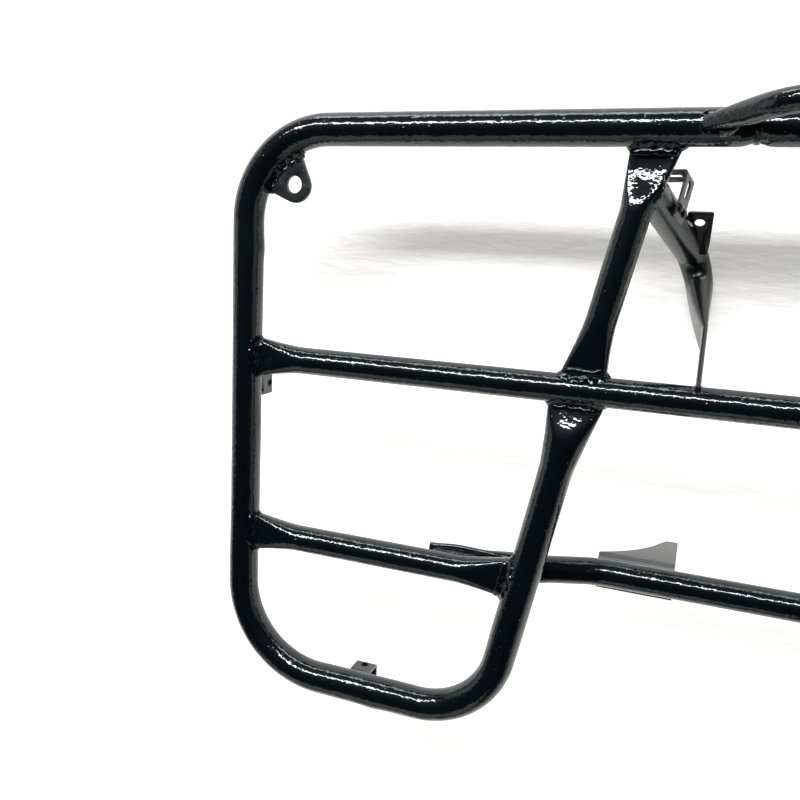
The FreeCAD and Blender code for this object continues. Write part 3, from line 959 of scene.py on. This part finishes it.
@dataclass(frozen=True)
class OuterRails:
    """The two bent outer rails and the straight tube between them."""

    layout: Layout
    butt_inset: float = 378.0
    rear_radius: float = 71.0
    front_radius: float = 77.0
    inner_radius: float = 69.0
    tip: FlatEnd = LEG_TIP
    seam_width: float = 2.08
    seam_height: float = 1.3
    seam_seed: int = 3
    seam_stations: int = 60
    neck: float = 2.4
    neck_spread: float = 6.0
    centre_step: float = 2.0
    bender_marks: Sequence[Dent] = (
        Dent(at=908.0, spread=9.0, push=-0.5, squeeze=-0.4),
        Dent(at=715.0, spread=35.0, push=-0.8),
        Dent(at=440.0, spread=8.0, push=0.4, squeeze=-0.4),
        Dent(at=900.0, spread=75.0, squeeze=-0.9),
    )

    @property
    def butt(self) -> Array:
        """The butt joint of the rear rail."""
        return self.layout.spot(self.butt_inset, self.layout.rear_y)

    def rail(self) -> Skin:
        """The left rail: rear run, side, front run and inner leg in one tube.

        Returns:
            The rail's surface.
        """
        place = self.layout
        corners = (
            self.butt,
            place.spot(0.0, place.rear_y),
            place.spot(0.0, place.front_y),
            place.leg_front,
            place.leg_middle,
        )
        route = Route(corners, (self.rear_radius, self.front_radius, self.inner_radius))
        dents = (Dent(0.0, self.neck_spread, neck=self.neck), *self.bender_marks)
        return Tube(route, place.rail_radius, UP, far=self.tip, dents=dents).skin()

    def centre(self) -> Skin:
        """The straight tube between the butt joints.

        Returns:
            The tube's surface.
        """
        start, end = self.butt, self.butt * MIRROR
        necks = [Dent(at, self.neck_spread, neck=self.neck) for at in (0.0, end[0] - start[0])]
        route = Route((start, end), step=self.centre_step)
        return Tube(route, self.layout.rail_radius, UP, dents=necks).skin()

    def seam(self) -> Skin:
        """The ground-back weld round the butt joint: a circle in the necked-in wall.

        Returns:
            A closed bead's surface.
        """
        angle = np.linspace(0.0, FULL_TURN, self.seam_stations, endpoint=False)[:, None]
        outward = np.cos(angle) * REAR + np.sin(angle) * UP
        line = self.butt + (self.layout.rail_radius - self.neck) * outward
        return Bead(
            line, self.seam_width, self.seam_height, self.seam_seed, outward, ring=True
        ).skin()

    def build(self) -> None:
        """Lays the rails, the centre tube and the seams."""
        lay_halves(
            Piece("outer_rail_tube", [self.rail()], TUBE_PAINT, "outer_rail"),
            Piece("butt_seam", [self.seam()], WELD_PAINT),
        )
        centre = Piece("rear_centre_rail_tube", [self.centre()], TUBE_PAINT, "rear_centre_rail")
        centre.lay(Half.BOTH)


@dataclass(frozen=True)
class DeckBars:
    """The flattened bars of the deck with the welds at their ends."""

    layout: Layout
    step: float = 2.0
    end: FlatEnd = FlatEnd(38.0, 8.0, 54.0, spread=1.5)
    rear_end: FlatEnd = FlatEnd(38.0, 8.0, 38.0, hold=19.0, dip=0.6, press=Press.SHOULDER)
    leg_end: FlatEnd = LEG_TIP
    fillet_width: float = 5.4
    fillet_height: float = 1.9
    fillet_seed: int = 11
    crown_ahead: float = 4.0
    crown_width: float = 2.6
    crown_height: float = 1.5
    crown_span: tuple[float, float] = (28.0, 152.0)
    crown_seed: int = 50

    def bar(self, start: Array, finish: Array, far: FlatEnd) -> Skin:
        """A bar between two tube axes, pressed flat at both ends."""
        route = Route((start, finish), step=self.step)
        return Tube(route, self.layout.bar_radius, UP, near=self.end, far=far).skin()

    def weld(
        self, seed: int, root: Array, away: Array, along: Array, tube_radius: float, end: FlatEnd
    ) -> list[Skin]:
        """The beads at one end of a bar: a fillet all round it and a crown across its upper side.

        Args:
            seed: Seed of the fillet's lumps. The crown's is higher by the crown's own.
            root: Where the bar's axis meets the tube's axis.
            away: A point further along the bar.
            along: Direction of the tube.
            tube_radius: Radius of the tube.
            end: The bar's flattened end.

        Returns:
            The beads' surfaces.
        """
        heading = unit(away - root)
        wall = np.array(tube_radius)
        radius = self.layout.bar_radius
        half_width = radius + (end.width / 2 - radius) * float(end.widen(wall))
        half_thickness = radius + (end.thickness / 2 - radius) * float(end.flatten(wall))
        seat = Seat(
            root, heading, UP, half_width, half_thickness, root, unit(along), tube_radius
        )
        crown = replace(seat, tube_radius=tube_radius + self.crown_ahead, lean=0.0)
        crown_seed = seed + self.crown_seed
        return [
            seat.weld(self.fillet_width, self.fillet_height, seed),
            crown.weld(self.crown_width, self.crown_height, crown_seed, self.crown_span),
        ]

    def build(self) -> None:
        """Lays the struts, wing bars and middle bar, and their beads."""
        place = self.layout
        wing_rail = place.spot(0.0, place.wing_y)
        middle_rail = place.spot(0.0, place.middle_y)
        leg = place.leg_middle - place.leg_front
        rail, thin = place.rail_radius, place.bar_radius
        joints = (
            (place.strut_rear, place.strut_middle, RIGHT, rail, self.rear_end),
            (place.strut_middle, place.strut_rear, RIGHT, thin, self.end),
            (place.leg_middle, place.leg_front, RIGHT, thin, self.leg_end),
            (middle_rail, place.leg_middle, REAR, rail, self.end),
            (wing_rail, place.leg_wing, REAR, rail, self.end),
            (place.leg_wing, wing_rail, leg, rail, self.end),
        )
        welds: list[Skin] = []
        for seed, joint in enumerate(joints, start=self.fillet_seed):
            welds.extend(self.weld(seed, *joint))
        strut = self.bar(place.strut_middle, place.strut_rear, self.rear_end)
        wing = self.bar(wing_rail, place.leg_wing, self.end)
        middle = self.bar(middle_rail, middle_rail * MIRROR, self.end)
        lay_halves(
            Piece("rear_strut_tube", [strut], TUBE_PAINT, "rear_strut"),
            Piece("wing_bar_tube", [wing], TUBE_PAINT, "wing_bar"),
            Piece("deck_welds", welds, WELD_PAINT),
        )
        Piece("middle_bar_tube", [middle], TUBE_PAINT, "middle_bar").lay(Half.BOTH)


@dataclass(frozen=True)
class GrabBar:
    """The hoop over the rear rail, leaning back, its ends coped and welded to the rail's top."""

    layout: Layout
    radius: float = 8.0
    end_half: float = 122.5
    end_height: float = 5.0
    knee_half: float = 74.8
    height: float = 52.0
    lean: float = 10.0
    bend_radius: float = 55.0
    step: float = 2.0
    pinch: FlatEnd = FlatEnd(17.0, 9.0, 36.0, ease=1.2, dip=0.0)
    fillet_width: float = 1.4
    fillet_height: float = 0.6
    fillet_seed: int = 21
    patch_width: float = 4.2
    patch_height: float = 1.7
    patch_span: tuple[float, float] = (185.0, 285.0)
    patch_seed: int = 22

    def spot(self, x: float, rise: float) -> Array:
        """A place in the hoop's leaning plane, by its height above the rear rail's axis."""
        return np.array((x, self.layout.rear_y, self.layout.deck_z)) + rise * self.upward

    @property
    def upward(self) -> Array:
        """The direction up the leaning plane."""
        angle = math.radians(self.lean)
        return np.array((0.0, math.sin(angle), math.cos(angle)))

    def build(self) -> None:
        """Lays the hoop and the fillets at its ends."""
        start = self.spot(-self.end_half, self.end_height)
        knee = self.spot(-self.knee_half, self.height)
        corners = (start, knee, knee * MIRROR, start * MIRROR)
        route = Route(corners, (self.bend_radius, self.bend_radius), step=self.step)
        hoop = Tube(route, self.radius, REAR, near=self.pinch, far=self.pinch).skin()
        Piece("grab_bar_tube", [hoop], TUBE_PAINT, "grab_bar").lay(Half.BOTH)
        seat = Seat(
            start, unit(knee - start), self.upward, self.radius, self.radius,
            self.spot(0.0, 0.0), RIGHT, self.layout.rail_radius,
        )
        welds = [
            seat.weld(self.fillet_width, self.fillet_height, self.fillet_seed),
            seat.weld(self.patch_width, self.patch_height, self.patch_seed, self.patch_span),
        ]
        lay_halves(Piece("grab_welds", welds, WELD_PAINT))


@dataclass(frozen=True)
class CrossTube:
    """The tube under the deck, its ends crushed against the wing bars, with two hangers."""

    layout: Layout
    step: float = 2.0
    knee_inset: float = 300.0
    toe_inset: float = 216.0
    end_inset: float = 168.0
    knee_radius: float = 60.0
    toe_radius: float = 26.0
    toe_width: float = 30.5
    toe_thickness: float = 6.0
    toe_spread: float = 0.7
    toe_clip: float = 2.8
    toe_clip_spread: float = 16.0
    crush_length: float = 50.0
    seat_gap: float = 0.25
    hanger_inset: float = 299.0
    hanger_length: float = 60.0
    hanger_soften: float = 0.45
    bead_stations: int = 20
    toe_bead: float = 2.4
    toe_bead_sink: float = 3.2
    toe_bead_drop: float = 0.8
    toe_bead_start: float = 4.0
    toe_bead_end: float = 6.0
    toe_bead_seed: int = 31
    hanger_bead: float = 1.92
    hanger_bead_drop: float = 0.9
    hanger_bead_side: float = 0.55
    hanger_bead_seed: int = 33

    @property
    def drop(self) -> float:
        """How far the tube's middle hangs below the deck's middle plane."""
        return self.layout.deck_z - self.layout.cross_z

    def tube(self) -> Skin:
        """The tube from toe to toe, with the corners of its flattened ends clipped.

        Returns:
            The tube's surface.
        """
        place = self.layout
        flat_drop = place.bar_radius + self.seat_gap + self.toe_thickness / 2
        left = [
            place.spot(self.end_inset, place.wing_y, flat_drop),
            place.spot(self.toe_inset, place.wing_y, flat_drop),
            place.spot(self.knee_inset, place.wing_y, self.drop),
        ]
        right = [corner * MIRROR for corner in reversed(left)]
        radii = (self.toe_radius, self.knee_radius, self.knee_radius, self.toe_radius)
        route = Route(left + right, radii, step=self.step)
        toe = FlatEnd(
            self.toe_width, self.toe_thickness, self.crush_length,
            hold=self.toe_inset - self.end_inset, spread=self.toe_spread, dip=0.0,
        )
        ends = (0.0, float(route.sample()[2][-1]))
        clips = [Dent(at, self.toe_clip_spread, squeeze=self.toe_clip) for at in ends]
        return Tube(route, place.bar_radius, UP, near=toe, far=toe, dents=clips).skin()

    def welds(self) -> list[Skin]:
        """The straight beads in front of and behind the toe and the hanger's web.

        Returns:
            One surface per bead.
        """
        place, radius = self.layout, self.layout.bar_radius
        share = np.linspace(0.0, 1.0, self.bead_stations)[:, None]
        toe_drop = radius * self.toe_bead_drop
        start = place.spot(self.end_inset + self.toe_bead_start, place.wing_y, toe_drop)
        finish = place.spot(self.toe_inset - self.toe_bead_end, place.wing_y, toe_drop)
        toe = start + share * (finish - start)
        web_drop = self.drop + radius * self.hanger_bead_drop
        web = place.spot(self.hanger_inset, place.wing_y, web_drop)
        web = web + share * self.hanger_length * RIGHT
        runs = (
            (toe, radius - self.toe_bead_sink, self.toe_bead, self.toe_bead_seed),
            (web, radius * self.hanger_bead_side, self.hanger_bead, self.hanger_bead_seed),
        )
        return [
            Bead(line + side * shift * REAR, girth, girth, seed + number, UP).skin()
            for number, side in enumerate((-1.0, 1.0))
            for line, shift, girth, seed in runs
        ]

    def build(self) -> None:
        """Lays the tube, the hangers and the welds."""
        tube = Piece("front_cross_tube_tube", [self.tube()], TUBE_PAINT, "front_cross_tube")
        tube.lay(Half.BOTH)
        lay_halves(
            Bracket("hanger_bracket", HANGER_PAINT_WITH_PAINTED_REFLECTION, self.hanger_soften),
            Piece("cross_tube_welds", self.welds(), WELD_PAINT),
        )


@dataclass(frozen=True)
class Stays:
    """The stays from the struts to the ground and up to the middle bar, with what they carry."""

    layout: Layout
    radius: float = 11.9
    step: float = 1.6
    top_inset: float = 313.0
    top_reach: float = 39.0
    foot_inset: float = 351.3
    foot_reach: float = 90.7
    foot_gap: float = 0.15
    foot_rounds: int = 4
    knee_radius: float = 20.0
    blade_inset: float = 351.3
    blade_length: float = 66.0
    blade_width: float = 31.0
    blade_thickness: float = 4.8
    blade_back: float = 0.6
    blade_ease: float = 1.75
    blade_dip: float = 0.2
    tab_inset: float = 347.8
    tab_reach: float = 58.4
    tab_drop: float = 64.0
    tab_tilt: float = 43.0
    tab_plate: float = 2.2
    tab_hole: float = 7.2
    tab_half: float = 9.5
    tab_head: float = 10.0
    tab_length: float = 31.0
    tab_corner: float = 2.0
    tab_foot_corner: float = 0.8
    tab_root: float = 0.5
    clip_along: float = 32.0
    clip_plate: float = 1.6
    clip_gap: float = 0.25
    clip_soften: float = 0.25
    rivet_pitch: float = 8.0
    rivet_head: float = 7.2
    rivet_rise: float = 2.2
    rivet_top: float = 0.985
    rivet_rows: int = 9
    rivet_sides: int = 28
    fillet_width: float = 1.7
    fillet_height: float = 0.8
    fillet_inset: float = 1.5
    fillet_seed: int = 41
    tab_bead_share: tuple[float, float] = (0.6, 0.95)
    tab_bead_side: float = 0.8
    tab_bead_reach: float = 0.9
    tab_bead_stations: int = 24

    @property
    def top(self) -> Array:
        """Where the stay's axis meets the strut."""
        return self.layout.spot(self.top_inset, self.layout.rear_y - self.top_reach)

    @property
    def foot(self) -> Array:
        """The knee of the stay as the solid has it, resting on the ground."""
        spot = self.layout.spot(self.foot_inset, self.layout.rear_y - self.foot_reach)
        return np.array((spot[0], spot[1], self.radius))

    @property
    def blade(self) -> Array:
        """Where the pressed end meets the middle bar."""
        return self.layout.spot(self.blade_inset, self.layout.middle_y)

    @property
    def blade_shift(self) -> float:
        """How far the pressed end lies to the right of the stay's axis."""
        return (2 * self.radius - self.blade_thickness) / 2 - self.blade_back

    def tube(self) -> Skin:
        """The stay, whose knee is set so deep that its rounded bend still rests on the ground.

        Returns:
            The stay's surface.
        """
        corner = self.foot
        for _ in range(self.foot_rounds):
            route = Route((self.top, corner, self.blade), (self.knee_radius,), step=self.step)
            lowest = route.sample()[0][:, 2].min()
            corner = corner + (self.radius + self.foot_gap - lowest) * UP
        length = float(np.linalg.norm(self.blade - corner)) - self.blade_length
        pressed = FlatEnd(
            self.blade_width, self.blade_thickness, length, hold=self.blade_length,
            shift=self.blade_shift, ease=self.blade_ease, dip=self.blade_dip,
        )
        return Tube(route, self.radius, RIGHT, far=pressed).skin()

    def tab(self) -> HoledPlate:
        """The three-cornered bolt tab on the stay.

        Returns:
            The tab, its hole's middle at the bolt.
        """
        angle = math.radians(self.tab_tilt)
        reach = self.layout.rear_y - self.tab_reach
        centre = self.layout.spot(self.tab_inset, reach, self.tab_drop)
        half, corner, foot = self.tab_half, self.tab_corner, self.tab_foot_corner
        corners = (
            (-half, self.tab_head),
            (-corner - self.tab_root, -self.tab_length),
            (half - corner, -self.tab_length),
            (half - corner / 2, half - self.tab_length),
            (half, self.tab_head),
        )
        radii = (corner, foot, foot, foot, corner)
        ahead = np.array((0.0, math.cos(angle), math.sin(angle)))
        return HoledPlate(corners, radii, self.tab_hole, self.tab_plate, centre, RIGHT, ahead)

    def rivets(self) -> list[Skin]:
        """The two rivet heads at the clip's foot.

        Each is a turned dome: radius R sqrt(1 - h^2) at the share h of its rise.

        Returns:
            One surface per rivet.
        """
        down = unit(self.foot - self.top)
        back = unit(REAR - down * (REAR @ down))
        out = np.cross(down, back)
        out = out if out[0] > 0 else -out
        side = np.cross(back, out)
        rise = self.radius + self.clip_gap + self.clip_plate
        seat = self.top + down * self.clip_along + out * rise
        angle = np.linspace(0.0, FULL_TURN, self.rivet_sides, endpoint=False)[None, :, None]
        level = np.linspace(0.0, self.rivet_top, self.rivet_rows)[:, None, None]
        girth = self.rivet_head / 2 * np.sqrt(1 - level ** 2)
        dome = girth * (np.cos(angle) * side + np.sin(angle) * back)
        dome = dome + level * self.rivet_rise * out
        return [Skin(seat - side * self.rivet_pitch / 2 * turn + dome) for turn in (-1.0, 1.0)]

    def welds(self) -> list[Skin]:
        """The beads at the strut, at the middle bar and along the tab.

        Returns:
            One surface per bead.
        """
        place, bar = self.layout, self.layout.bar_radius
        upper = Seat(
            self.top, unit(self.foot - self.top), RIGHT, self.radius, self.radius,
            place.strut_middle, unit(place.strut_rear - place.strut_middle), bar,
        )
        rise = unit(self.blade - self.foot)
        shift = unit(RIGHT - rise * (RIGHT @ rise)) * self.blade_shift
        lower = Seat(
            self.blade + shift, -rise, RIGHT, bar - self.fillet_inset, self.blade_thickness / 2,
            place.spot(0.0, place.middle_y), RIGHT, bar,
        )
        plate = self.tab()
        share = np.linspace(*self.tab_bead_share, self.tab_bead_stations)[:, None]
        edge = plate.side * self.tab_half * self.tab_bead_side
        near = plate.centre - edge
        far = plate.centre + edge - plate.ahead * self.tab_length * self.tab_bead_reach
        line = near + share * (far - near)
        size, seed = (self.fillet_width, self.fillet_height), self.fillet_seed
        return [
            upper.weld(*size, seed),
            lower.weld(*size, seed + 1),
            Bead(line, *size, seed + 2, UP).skin(),
        ]

    def build(self) -> None:
        """Lays both stays with what is fixed to them."""
        lay_halves(
            Piece("stay_tube", [self.tube()], STAY_PAINT, "stay"),
            Piece("stay_tab_plate", [self.tab().skin()], TAB_PAINT, "stay_tab"),
            Piece("clip_rivet_heads", self.rivets(), RIVET_PAINT, "clip_rivets"),
            Piece("stay_welds", self.welds(), WELD_PAINT),
            Bracket("slotted_clip", CLIP_PAINT_WITH_PAINTED_REFLECTION, self.clip_soften),
        )


@dataclass(frozen=True)
class RailFittings:
    """The lashing eyelets in the rear bends and the fender clips under the rails."""

    layout: Layout
    bend_radius: float = 71.0
    bend_bearing: float = 135.0
    hole_inset: float = 30.0
    hole: float = 13.4
    plate: float = 4.0
    nose: float = 14.5
    nose_half: float = 8.9
    nose_radius: float = 12.6
    root_half: float = 23.3
    root_reach: float = 20.4
    root_corner: float = 1.0
    fillet_width: float = 6.4
    fillet_height: float = 2.2
    fillet_span: float = 23.0
    fillet_stations: int = 40
    fillet_seed: int = 51
    clip_bead: float = 1.5
    clip_bead_drop: float = 0.8
    clip_bead_stations: int = 16
    clip_bead_seed: int = 53
    clip_width: float = 18.0
    clip_offset: float = 10.3
    clip_soften: float = 0.3
    side_clip_reach: float = 208.5
    front_clip_inset: float = 112.5

    @property
    def bend(self) -> Array:
        """Centre of the rear bend."""
        return self.layout.spot(self.bend_radius, self.layout.rear_y - self.bend_radius)

    def eyelet(self) -> Skin:
        """The drop-shaped plate, which points from the bend to the bend's centre.

        Returns:
            The plate's surface.
        """
        outward = unit(np.array((-1.0, 1.0, 0.0)))
        centre = self.bend + outward * (self.bend_radius - self.hole_inset)
        corners = (
            (self.root_reach, -self.root_half),
            (self.root_reach, self.root_half),
            (-self.nose, self.nose_half),
            (-self.nose, -self.nose_half),
        )
        radii = (self.root_corner, self.root_corner, self.nose_radius, self.nose_radius)
        ahead = np.cross(UP, outward)
        return HoledPlate(
            corners, radii, self.hole, self.plate, centre, outward, ahead
        ).skin()

    def welds(self) -> list[Skin]:
        """The beads along the eyelet's root and at the clips.

        Returns:
            One surface per bead.
        """
        place, radius = self.layout, self.layout.rail_radius
        limits = self.bend_bearing - self.fillet_span, self.bend_bearing + self.fillet_span
        angle = np.radians(np.linspace(*limits, self.fillet_stations))[:, None]
        outward = np.cos(angle) * RIGHT + np.sin(angle) * REAR
        beads = []
        for seed, face in enumerate((-1.0, 1.0), start=self.fillet_seed):
            level = face * self.plate / 2
            inner = self.bend_radius - math.sqrt(radius ** 2 - level ** 2)
            arc = self.bend + inner * outward + level * UP
            normal = face * UP - outward
            beads.append(Bead(arc, self.fillet_width, self.fillet_height, seed, normal))
        share = np.linspace(-0.5, 0.5, self.clip_bead_stations)[:, None] * self.clip_width
        drop = math.sqrt(radius ** 2 - self.clip_offset ** 2) + self.clip_bead_drop
        side = place.spot(self.clip_offset, place.rear_y - self.side_clip_reach, drop)
        front = place.spot(self.front_clip_inset, place.front_y + self.clip_offset, drop)
        lines = (side + share * REAR, front + share * RIGHT)
        for seed, line in enumerate(lines, start=self.clip_bead_seed):
            beads.append(Bead(line, self.clip_bead, self.clip_bead, seed, UP))
        return [bead.skin() for bead in beads]

    def build(self) -> None:
        """Lays the eyelets, their beads and the clips."""
        lay_halves(
            Piece("corner_eyelet_plate", [self.eyelet()], EYELET_PAINT, "corner_eyelet"),
            Piece("fitting_welds", self.welds(), WELD_PAINT),
            Bracket("side_clip", PLATE_PAINT, self.clip_soften),
            Bracket("front_clip", PLATE_PAINT, self.clip_soften),
        )


# Studio


def stand(item: bpy.types.Object, right: Array, back: Array, spot: Array) -> None:
    """Puts a lamp or camera into the scene.

    Args:
        item: What is put up.
        right: Rough direction of its right-hand side.
        back: Unit direction that it turns its back to.
        spot: Its place, in metres.
    """
    right = unit(right - back * (right @ back))
    rows = zip(np.stack((right, np.cross(back, right), back)).T, spot)
    turned = [[*row, shift] for row, shift in rows]
    item.matrix_world = Matrix(turned + [[0.0, 0.0, 0.0, 1.0]])
    bpy.context.scene.collection.objects.link(item)


@dataclass(frozen=True)
class Lamp:
    """A soft area lamp that faces the rack, its long side along the given line."""

    name: str
    toward: Point
    distance: float
    width: float
    height: float
    power: float
    line: Point = (1.0, 0.0, 0.0)

    def hang(self, target: Array) -> None:
        """Hangs the lamp at its distance from the target.

        Args:
            target: The point that the lamp faces.
        """
        data = bpy.data.lights.new(self.name, "AREA")
        data.shape = "RECTANGLE"
        data.size = self.width
        data.size_y = self.height
        data.energy = self.power
        lamp = bpy.data.objects.new(self.name, data)
        back = unit(np.array(self.toward))
        stand(lamp, np.array(self.line), back, target * MM + back * self.distance)


@dataclass(frozen=True)
class Studio:
    """White floor, soft window light from the rear and the photograph's camera.

    The four numbers of a glow are the range that is read and the strengths at its two ends.
    """

    layout: Layout
    floor_half: float = 9.0
    floor_shade: Colour = (0.79, 0.78, 0.75)
    floor_bloom: Colour = (0.86, 0.855, 0.84)
    floor_tint: tuple[float, float, float, float] = (1.0, 0.985, 0.95, 1.0)
    # Painted light: the floor glows stronger in front, which washes out the rack's shadows there,
    # and weaker behind, where the rear rail's shadow shows.
    painted_front_light: tuple[float, float, float, float] = (0.03, 0.12, 0.88, 0.40)
    far_glow: tuple[float, float, float, float] = (0.8, 1.7, 0.0, 1.0)
    room_glow: tuple[float, float, float, float] = (0.0, 0.32, 0.95, 0.02)
    scuff_grain: float = 60.0
    stroke_grain: float = 9.0
    stroke_draw: Point = (0.45, 1.3, 1.0)
    stroke_depth: float = 1.6
    floor_detail: float = 6.0
    focal_length: float = 36.0
    sensor: float = 36.0
    clip_start: float = 0.01
    eye_inset: float = 359.9
    eye_reach: float = 87.8
    eye_height: float = 585.1
    eye_right: Point = (0.932, 0.048, -0.359)
    eye_back: Point = (0.3451, 0.1863, 0.9201)
    lit_x: float = -150.0
    lamps: Sequence[Lamp] = (
        Lamp("window", (-0.22, 0.60, 0.75), 2.4, 2.4, 0.24, 72.0),
        Lamp("rear_wall", (0.0, 0.99, 0.10), 3.0, 4.0, 0.6, 48.0),
        Lamp("front_fill", (-0.25, -0.85, 0.46), 3.2, 3.0, 1.2, 9.0),
        Lamp("left_fill", (-0.93, 0.10, 0.36), 3.2, 2.4, 1.0, 6.0, (0.0, 1.0, 0.0)),
        Lamp("right_fill", (0.93, -0.05, 0.36), 3.2, 2.4, 1.0, 3.0, (0.0, 1.0, 0.0)),
    )

    def floor(self) -> None:
        """Lays the floor, which glows white to camera and reflections and takes the shadow; its
        glow is stronger in front, painted light that washes out the shadows there.
        """
        wiring = Wiring(bpy.data.materials.new("white_floor"))
        place = wiring.add("ShaderNodeTexCoord").outputs["Object"]
        scuffs = wiring.noise(place, self.scuff_grain, self.floor_detail)
        colour = wiring.tint(scuffs, self.floor_shade, self.floor_bloom)
        drawn = wiring.work("ShaderNodeVectorMath", "MULTIPLY", place, self.stroke_draw)
        strokes = wiring.noise(drawn, self.stroke_grain, self.floor_detail)
        depth = self.stroke_depth * MM
        bump = wiring.add("ShaderNodeBump", Strength=1.0, Distance=depth, Height=strokes)
        diffuse = wiring.add("ShaderNodeBsdfDiffuse", Color=colour, Normal=bump.outputs[0])
        path = wiring.add("ShaderNodeLightPath").outputs
        rays = path["Is Camera Ray"], path["Is Glossy Ray"]
        seen = wiring.work("ShaderNodeMath", "MAXIMUM", *rays)
        rear = wiring.add("ShaderNodeSeparateXYZ", place).outputs["Y"]
        away = wiring.work("ShaderNodeVectorMath", "LENGTH", place)
        glows = wiring.ramp(rear, *self.painted_front_light), wiring.ramp(away, *self.far_glow)
        level = wiring.work("ShaderNodeMath", "MAXIMUM", *glows)
        strength = wiring.work("ShaderNodeMath", "MULTIPLY", seen, level)
        glow = wiring.add("ShaderNodeEmission", Color=self.floor_tint, Strength=strength)
        total = wiring.add("ShaderNodeAddShader", diffuse.outputs[0], glow.outputs[0])
        wiring.add("ShaderNodeOutputMaterial", Surface=total.outputs[0])
        mesh = bpy.data.meshes.new("floor")
        half = self.floor_half
        corners = [(-half, -half, 0), (half, -half, 0), (half, half, 0), (-half, half, 0)]
        mesh.from_pydata(corners, [], [(0, 1, 2, 3)])
        mesh.materials.append(wiring.owner)
        floor = bpy.data.objects.new("floor", mesh)
        bpy.context.scene.collection.objects.link(floor)

    def sky(self) -> None:
        """White to the camera; to the paint a dim room that brightens towards the horizon."""
        world = bpy.data.worlds.new("studio")
        bpy.context.scene.world = world
        wiring = Wiring(world)
        place = wiring.add("ShaderNodeTexCoord").outputs["Generated"]
        height = wiring.add("ShaderNodeSeparateXYZ", place).outputs["Z"]
        glow = wiring.ramp(height, *self.room_glow)
        room = wiring.add("ShaderNodeBackground", Color=WHITE, Strength=glow)
        white = wiring.add("ShaderNodeBackground", Color=WHITE, Strength=1.0)
        seen = wiring.add("ShaderNodeLightPath").outputs["Is Camera Ray"]
        mix = wiring.add("ShaderNodeMixShader", seen, room.outputs[0], white.outputs[0])
        wiring.add("ShaderNodeOutputWorld", mix.outputs[0])

    def camera(self) -> None:
        """Stands the camera where the photograph was taken, worked out from the straight tubes."""
        data = bpy.data.cameras.new("photo_camera")
        data.lens = self.focal_length
        data.sensor_width = self.sensor
        data.clip_start = self.clip_start
        eye = bpy.data.objects.new("photo_camera", data)
        reach = self.layout.rear_y - self.eye_reach
        spot = self.layout.spot(self.eye_inset, reach, -self.eye_height) * MM
        stand(eye, np.array(self.eye_right), unit(np.array(self.eye_back)), spot)
        bpy.context.scene.camera = eye

    def build(self) -> None:
        """Sets up floor, sky, lamps and camera."""
        bpy.context.scene.view_settings.view_transform = "Standard"
        self.floor()
        self.sky()
        target = np.array((self.lit_x, 0.0, self.layout.deck_z))
        for lamp in self.lamps:
            lamp.hang(target)
        self.camera()


def main() -> None:
    """Builds the rack's sub-assemblies in order, then the studio."""
    logging.basicConfig(level=logging.INFO, format="%(name)s: %(message)s")
    layout = Layout.from_frame()
    for part in (
        OuterRails(layout),
        DeckBars(layout),
        GrabBar(layout),
        CrossTube(layout),
        Stays(layout),
        RailFittings(layout),
        Studio(layout),
    ):
        part.build()
        LOG.info("%s done", type(part).__name__)


if __name__ == "__main__":
    main()
